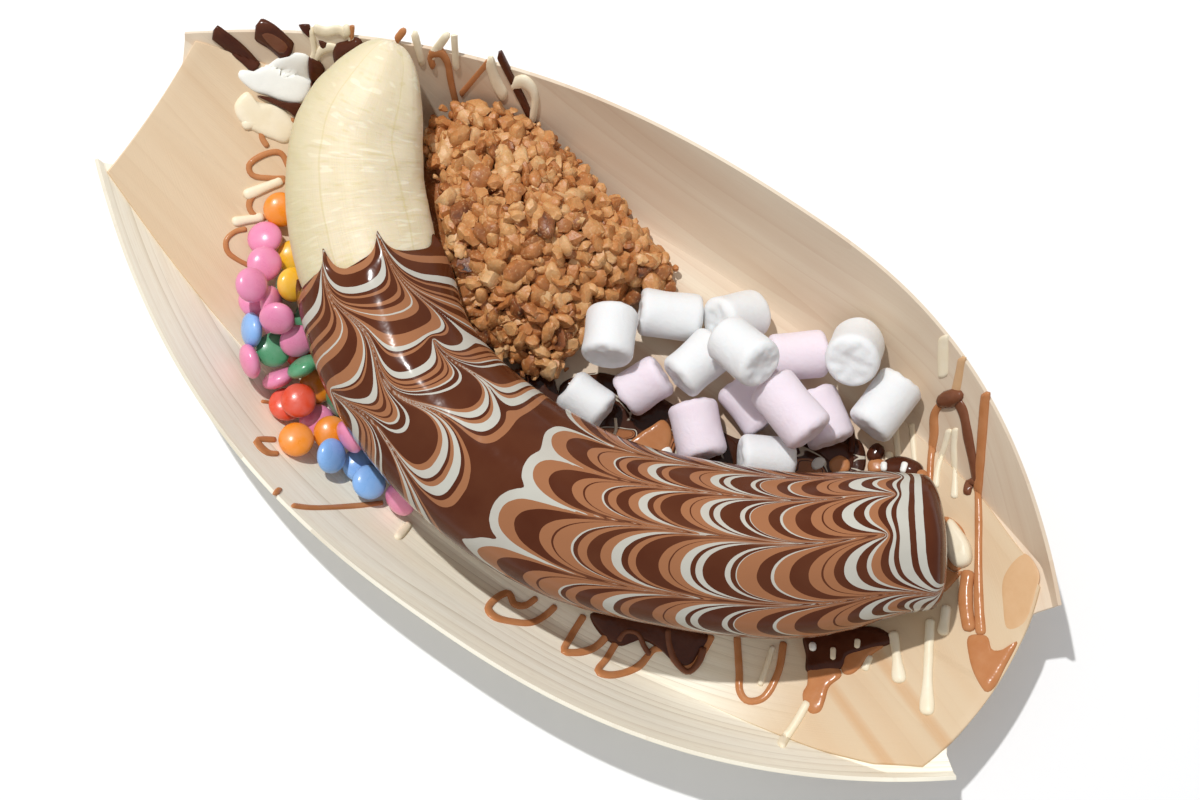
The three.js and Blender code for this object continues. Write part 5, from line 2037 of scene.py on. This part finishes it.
    def build(self) -> None:
        """Makes and dresses the core and its loose pieces."""
        self.edge = SmoothLine(self.outline, closed=True)
        line = self.banana.line
        rng = np.random.default_rng(self.seed)
        material = self.finish.build()
        hand_over(self._core(), material, "chopped_nuts", "nut_heap")
        variants = self._variants(rng)
        golden = (3 - math.sqrt(5)) / 2
        for chop in (self.pieces, self.crumbs):
            count = chop.count
            index = np.arange(count)
            share = chop.reach * np.sqrt((index + 0.5) / count)
            around = index * golden + rng.normal(size=count) * self.turn_jitter
            sizes = mix(*chop.widths, rng.beta(*self.width_spread, count))
            spots = self._top(share, around)
            spots[:, :2] += rng.normal(size=(count, 2)) * self.plan_jitter
            spots[:, 2] += rng.uniform(*self.stacked, count)
            ground = self.boat.floor(spots[:, 0], spots[:, 1])
            spots[:, 2] = np.maximum(spots[:, 2], ground + self.buried * sizes)
            clear = self.banana.gap(line, spots) > self.off_banana + self.buried * sizes
            tints = np.clip(rng.beta(*self.tone_spread, count), 0.1, 1.0)
            tints[rng.random(count) < self.dark_share] = 0.0
            nuts = np.column_stack([spots, sizes, tints])
            if chop is self.pieces:
                self._char(nuts, clear)
            piece = self._scatter(chop.name, variants, nuts[clear], rng)
            hand_over(piece, material, "chopped_nuts", "nut_heap")


# ---- marshmallows and candies


@dataclass(frozen=True)
class Seat:
    """Where a small solid lies: its middle, its axis, and its reach along the axis and around it."""

    middle: Points
    axis: Points
    half_length: float
    radius: float

    @classmethod
    def of(cls, node: Piece) -> Seat:
        """Reads the seat from a node that is round about its axis.

        Args:
            node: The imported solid.

        Returns:
            The seat.
        """
        places = np.unique(np.round(coordinates_of(node), 3), axis=0)
        middle = places.mean(axis=0)
        values, vectors = np.linalg.eigh(np.cov((places - middle).T))
        axis = vectors[:, 0 if values[1] - values[0] > values[2] - values[1] else 2]
        axis = axis * (1.0 if axis[2] >= 0 else -1.0)
        along = (places - middle) @ axis
        middle = middle + axis * (along.min() + along.max()) / 2
        out = places - middle
        around = np.linalg.norm(out - np.outer(out @ axis, axis), axis=1)
        return cls(middle, axis, float(along.max() - along.min()) / 2, float(around.max()))

    def matrix(self) -> Points:
        """Gives the turn that brings Z to the axis."""
        return np.array(Vector((0, 0, 1)).rotation_difference(Vector(self.axis)).to_matrix())


@dataclass(frozen=True)
class MarshmallowFinish:
    """Soft matte sugar foam with a fine powdery grain."""

    name: str
    colour: Colour
    fold: Colour

    def build(self) -> Material:
        """Makes the material.

        Returns:
            The material.
        """
        shader = Shader(self.name)
        cloud = shader.noise(160.0, 3.0)
        powder = shader.noise(1400.0, 2.0)
        pucker = shader.noise(420.0, 3.0, 0.6)
        colour = shader.blend(cloud.between(0.4, 0.8) * 0.35, self.colour, self.fold)
        normal = shader.bump(pucker * 0.55 + powder * 0.2, 0.28)
        return shader.finish(
            colour,
            0.78,
            Normal=normal,
            Subsurface_Weight=0.35,
            Subsurface_Radius=(1.0, 0.8, 0.7),
            Subsurface_Scale=0.003,
            Specular_IOR_Level=0.3,
        )


@dataclass
class Marshmallows:
    """Small marshmallows: soft drums with puckered ends, each a little out of shape.

    A pucker is a layer of dents without its seed. The waist is how much narrower a drum is halfway up.
    """

    pink: tuple[int, ...] = (4, 6, 8, 10, 11, 15)
    count: int = 15
    edge: float = 1.65
    sides: int = 44
    levels: tuple[float, ...] = (-0.5, -0.25, 0.0, 0.25, 0.5)
    insets: int = 4
    inset_share: float = 0.21
    pucker: Pair = (0.4, 1.9)
    sunk: float = 0.35
    waist: float = 0.035
    dent: Pair = (0.28, 6.5)
    dent_seeds: tuple[int, int, int] = (40, 60, 80)

    def _drum(self, name: str, seat: Seat, seed: int) -> Piece:
        """Makes one marshmallow on its seat.

        Args:
            name: The piece's name.
            seat: Where it lies.
            seed: Chooses its dents.

        Returns:
            The piece.
        """
        half, radius = seat.half_length, seat.radius
        bpy.ops.object.select_all(action="DESELECT")
        bpy.ops.mesh.primitive_cylinder_add(vertices=self.sides, radius=radius * MM, depth=2 * half * MM)
        drum = name_piece(name)
        with editing(drum):
            for level in self.levels:
                bpy.ops.mesh.select_all(action="SELECT")
                bpy.ops.mesh.bisect(plane_co=(0, 0, level * half * MM), plane_no=(0, 0, 1))
        height = np.abs(coordinates_of(drum)[:, 2])
        self._mark(drum, drum.data.edges, lambda edge: all(height[v] > half - 0.01 for v in edge.vertices))
        with editing(drum):
            bpy.ops.mesh.bevel(offset=self.edge * MM, segments=5, affect="EDGES")
        self._mark(drum, drum.data.polygons, lambda face: len(face.vertices) > 8)
        with editing(drum):
            for _ in range(self.insets):
                bpy.ops.mesh.inset(thickness=(radius - self.edge) * self.inset_share * MM)
            bpy.ops.mesh.poke()
        apply_modifier(drum, "SUBSURF", levels=1, render_levels=1)
        self._soften(drum, seat, seed)
        shade(drum)
        return drum

    @staticmethod
    def _mark(drum: Piece, elements: Any, chosen: Callable[[Any], bool]) -> None:
        """Selects some edges or faces of a drum, and nothing else.

        Args:
            drum: The piece.
            elements: Its edges or its faces.
            chosen: Tells whether one is to be selected.
        """
        for part in (drum.data.vertices, drum.data.edges, drum.data.polygons):
            part.foreach_set("select", np.zeros(len(part), bool))
        for element in elements:
            element.select = chosen(element)

    def _soften(self, drum: Piece, seat: Seat, seed: int) -> None:
        """Narrows the waist, puckers the ends, dents the whole and lays it on its seat.

        Args:
            drum: The piece.
            seat: Where it lies.
            seed: Chooses its dents.
        """
        places = coordinates_of(drum)
        around = np.hypot(places[:, 0], places[:, 1]) / seat.radius
        up = places[:, 2] / seat.half_length
        end = smoothstep(np.abs(up), 0.8, 0.97)
        creases = np.stack([places[:, 0], places[:, 1], np.sign(up) * 9.0], axis=-1)
        pucker = dents(creases, (*self.pucker, seed)) * end * (1 - smoothstep(around, 0.6, 1.0) * 0.6)
        sunk = self.sunk * (1 - smoothstep(around, 0.0, 0.75)) * end
        waist = 1.0 - self.waist * (1 - up**2)
        places[:, :2] *= waist[:, None]
        places[:, 2] += np.sign(up) * (pucker - sunk)
        places += np.stack([dents(places, (*self.dent, seed + k)) for k in self.dent_seeds], axis=-1)
        place_vertices(drum, places @ seat.matrix().T + seat.middle)

    def build(self, nodes: dict[str, Piece]) -> None:
        """Makes and dresses every marshmallow over its solid.

        Args:
            nodes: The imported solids, by name.
        """
        white = MarshmallowFinish("marshmallow_white", srgb(233, 234, 234), srgb(227, 227, 227)).build()
        pink = MarshmallowFinish("marshmallow_pink", srgb(236, 224, 232), srgb(230, 210, 222)).build()
        for number in range(1, self.count + 1):
            node = f"marshmallow_{number:02d}"
            drum = self._drum(f"soft_{node}", Seat.of(nodes[node]), number)
            if number in self.pink:
                hand_over(drum, pink, "marshmallow_pink", node)
            else:
                hand_over(drum, white, "marshmallow_white", node)


class Shell(Enum):
    """The sugar shells' colours, by the record's slot."""

    ORANGE = ("shell_orange", srgb(240, 142, 30))
    PINK = ("shell_pink", srgb(232, 138, 178))
    YELLOW = ("shell_yellow", srgb(246, 190, 44))
    GREEN = ("shell_green", srgb(84, 156, 112))
    BLUE = ("shell_blue", srgb(132, 180, 238))
    RED = ("shell_red", srgb(222, 76, 44))

    def build(self) -> Material:
        """Makes the shell's material: glossy sugar, a little mottled.

        Returns:
            The material.
        """
        name, colour = self.value
        shader = Shader(name)
        mottle = shader.noise(330.0, 3.0)
        paler = tuple(mix(channel, 1.0, 0.16) for channel in colour)
        tone = shader.blend(mottle.between(0.4, 0.75) * 0.5, colour, paler)
        normal = shader.bump(shader.noise(520.0, 2.0), 0.06)
        return shader.finish(tone, mottle * 0.14 + 0.22, Normal=normal, Coat_Weight=0.3, Coat_Roughness=0.08)


@dataclass
class Candies:
    """Sugar-coated chocolate lentils between the banana and the near wall."""

    shells: str = "OYGYGROPOGPPPPPPBPPPPGRRGOBBPBP"
    flank: float = 0.05
    dent: Pair = (0.02, 5.0)

    def _lentil(self, name: str, seat: Seat, seed: int) -> Piece:
        """Makes one lentil on its seat, hardly out of round.

        Args:
            name: The piece's name.
            seat: Where it lies.
            seed: Chooses its dents.

        Returns:
            The piece.
        """
        bpy.ops.object.select_all(action="DESELECT")
        bpy.ops.mesh.primitive_uv_sphere_add(segments=36, ring_count=20, radius=seat.radius * MM)
        lentil = name_piece(name)
        with editing(lentil, whole=True):
            bpy.ops.transform.resize(value=(1.0, 1.0, seat.half_length / seat.radius))
        places = coordinates_of(lentil)
        around = np.hypot(places[:, 0], places[:, 1]) / seat.radius
        places[:, 2] *= 1 + self.flank * smoothstep(around, 0.5, 0.95)
        places *= 1 + dents(places, (*self.dent, seed))[:, None]
        place_vertices(lentil, places @ seat.matrix().T + seat.middle)
        shade(lentil)
        return lentil

    def build(self, nodes: dict[str, Piece]) -> None:
        """Makes and dresses every lentil over its solid.

        Args:
            nodes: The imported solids, by name.
        """
        letters = {shell.name[0]: (shell.value[0], shell.build()) for shell in Shell}
        for number, letter in enumerate(self.shells, start=1):
            node = f"candy_{number:02d}"
            lentil = self._lentil(f"lentil_{number:02d}", Seat.of(nodes[node]), number)
            slot, material = letters[letter]
            hand_over(lentil, material, slot, node)


# ---- studio


@dataclass(frozen=True)
class Studio:
    """The pale floor, the lights and the camera."""

    azimuth: float = 34.4
    elevation: float = 82.0
    distance: float = 459.3
    target: Colour = (7.3, 2.9, 22.0)
    lens: float = 65.0
    sensor: float = 36.0
    floor_half: float = 900.0
    key_from: Colour = (-0.381, 0.181, 0.907)
    key_distance: float = 1.4
    key_size: float = 0.035
    key_power: float = 14.3
    sky: float = 0.5

    def build(self) -> None:
        """Makes the stage, the lights and the camera."""
        self._floor()
        self._lights()
        self._camera()

    def _floor(self) -> None:
        """Makes a plain pale floor with a thickness."""
        bpy.ops.object.select_all(action="DESELECT")
        bpy.ops.mesh.primitive_plane_add(size=2 * self.floor_half * MM)
        floor = name_piece("studio_floor")
        with editing(floor, whole=True):
            bpy.ops.mesh.extrude_region_move(TRANSFORM_OT_translate={"value": (0.0, 0.0, -20 * MM)})
            bpy.ops.mesh.select_all(action="SELECT")
            bpy.ops.mesh.normals_make_consistent(inside=False)
        shader = Shader("studio_floor")
        cloud = shader.noise(4.0, 2.0)
        tone = shader.blend(cloud, srgb(246, 246, 246), srgb(250, 250, 250))
        floor.data.materials.append(shader.finish(tone, 0.9))

    def _lights(self) -> None:
        """Makes the key light and the even surroundings."""
        data = bpy.data.lights.new("key", "AREA")
        data.shape = "DISK"
        data.size = self.key_size
        data.energy = self.key_power
        key = put_in_scene("key", data)
        toward = Vector(self.key_from).normalized()
        key.location = toward * self.key_distance
        key.rotation_euler = toward.to_track_quat("Z", "Y").to_euler()
        world = bpy.data.worlds.new("studio")
        world.use_nodes = True
        background = world.node_tree.nodes["Background"]
        background.inputs["Color"].default_value = (0.97, 0.98, 1.0, 1.0)
        background.inputs["Strength"].default_value = self.sky
        bpy.context.scene.world = world
        bpy.context.scene.view_settings.view_transform = "Standard"

    def _camera(self) -> None:
        """Makes the camera, which looks steeply down."""
        a, e = math.radians(self.azimuth), math.radians(self.elevation)
        back = Vector((math.sin(a) * math.cos(e), -math.cos(a) * math.cos(e), math.sin(e)))
        right = Vector((math.cos(a), math.sin(a), 0.0))
        up = back.cross(right)
        data = bpy.data.cameras.new("camera")
        data.lens = self.lens
        data.sensor_width = self.sensor
        camera = put_in_scene("camera", data)
        turn = Matrix((right, up, back)).transposed().to_4x4()
        place = (Vector(self.target) + back * self.distance) * MM
        camera.matrix_world = Matrix.Translation(place) @ turn
        bpy.context.scene.camera = camera


def main() -> None:
    """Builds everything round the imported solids."""
    logging.basicConfig(level=logging.INFO, format="%(message)s")
    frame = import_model()
    nodes = frame["nodes"]
    Studio().build()
    boat = BoatForm()
    banana = BananaForm()
    Boat(boat).build()
    Fruit(banana).build()
    Glaze(banana).build()
    SaucePool(banana, boat).build()
    Drizzles(boat).build()
    NutHeap(banana, boat).build()
    Marshmallows().build(nodes)
    Candies().build(nodes)


if __name__ == "__main__":
    main()
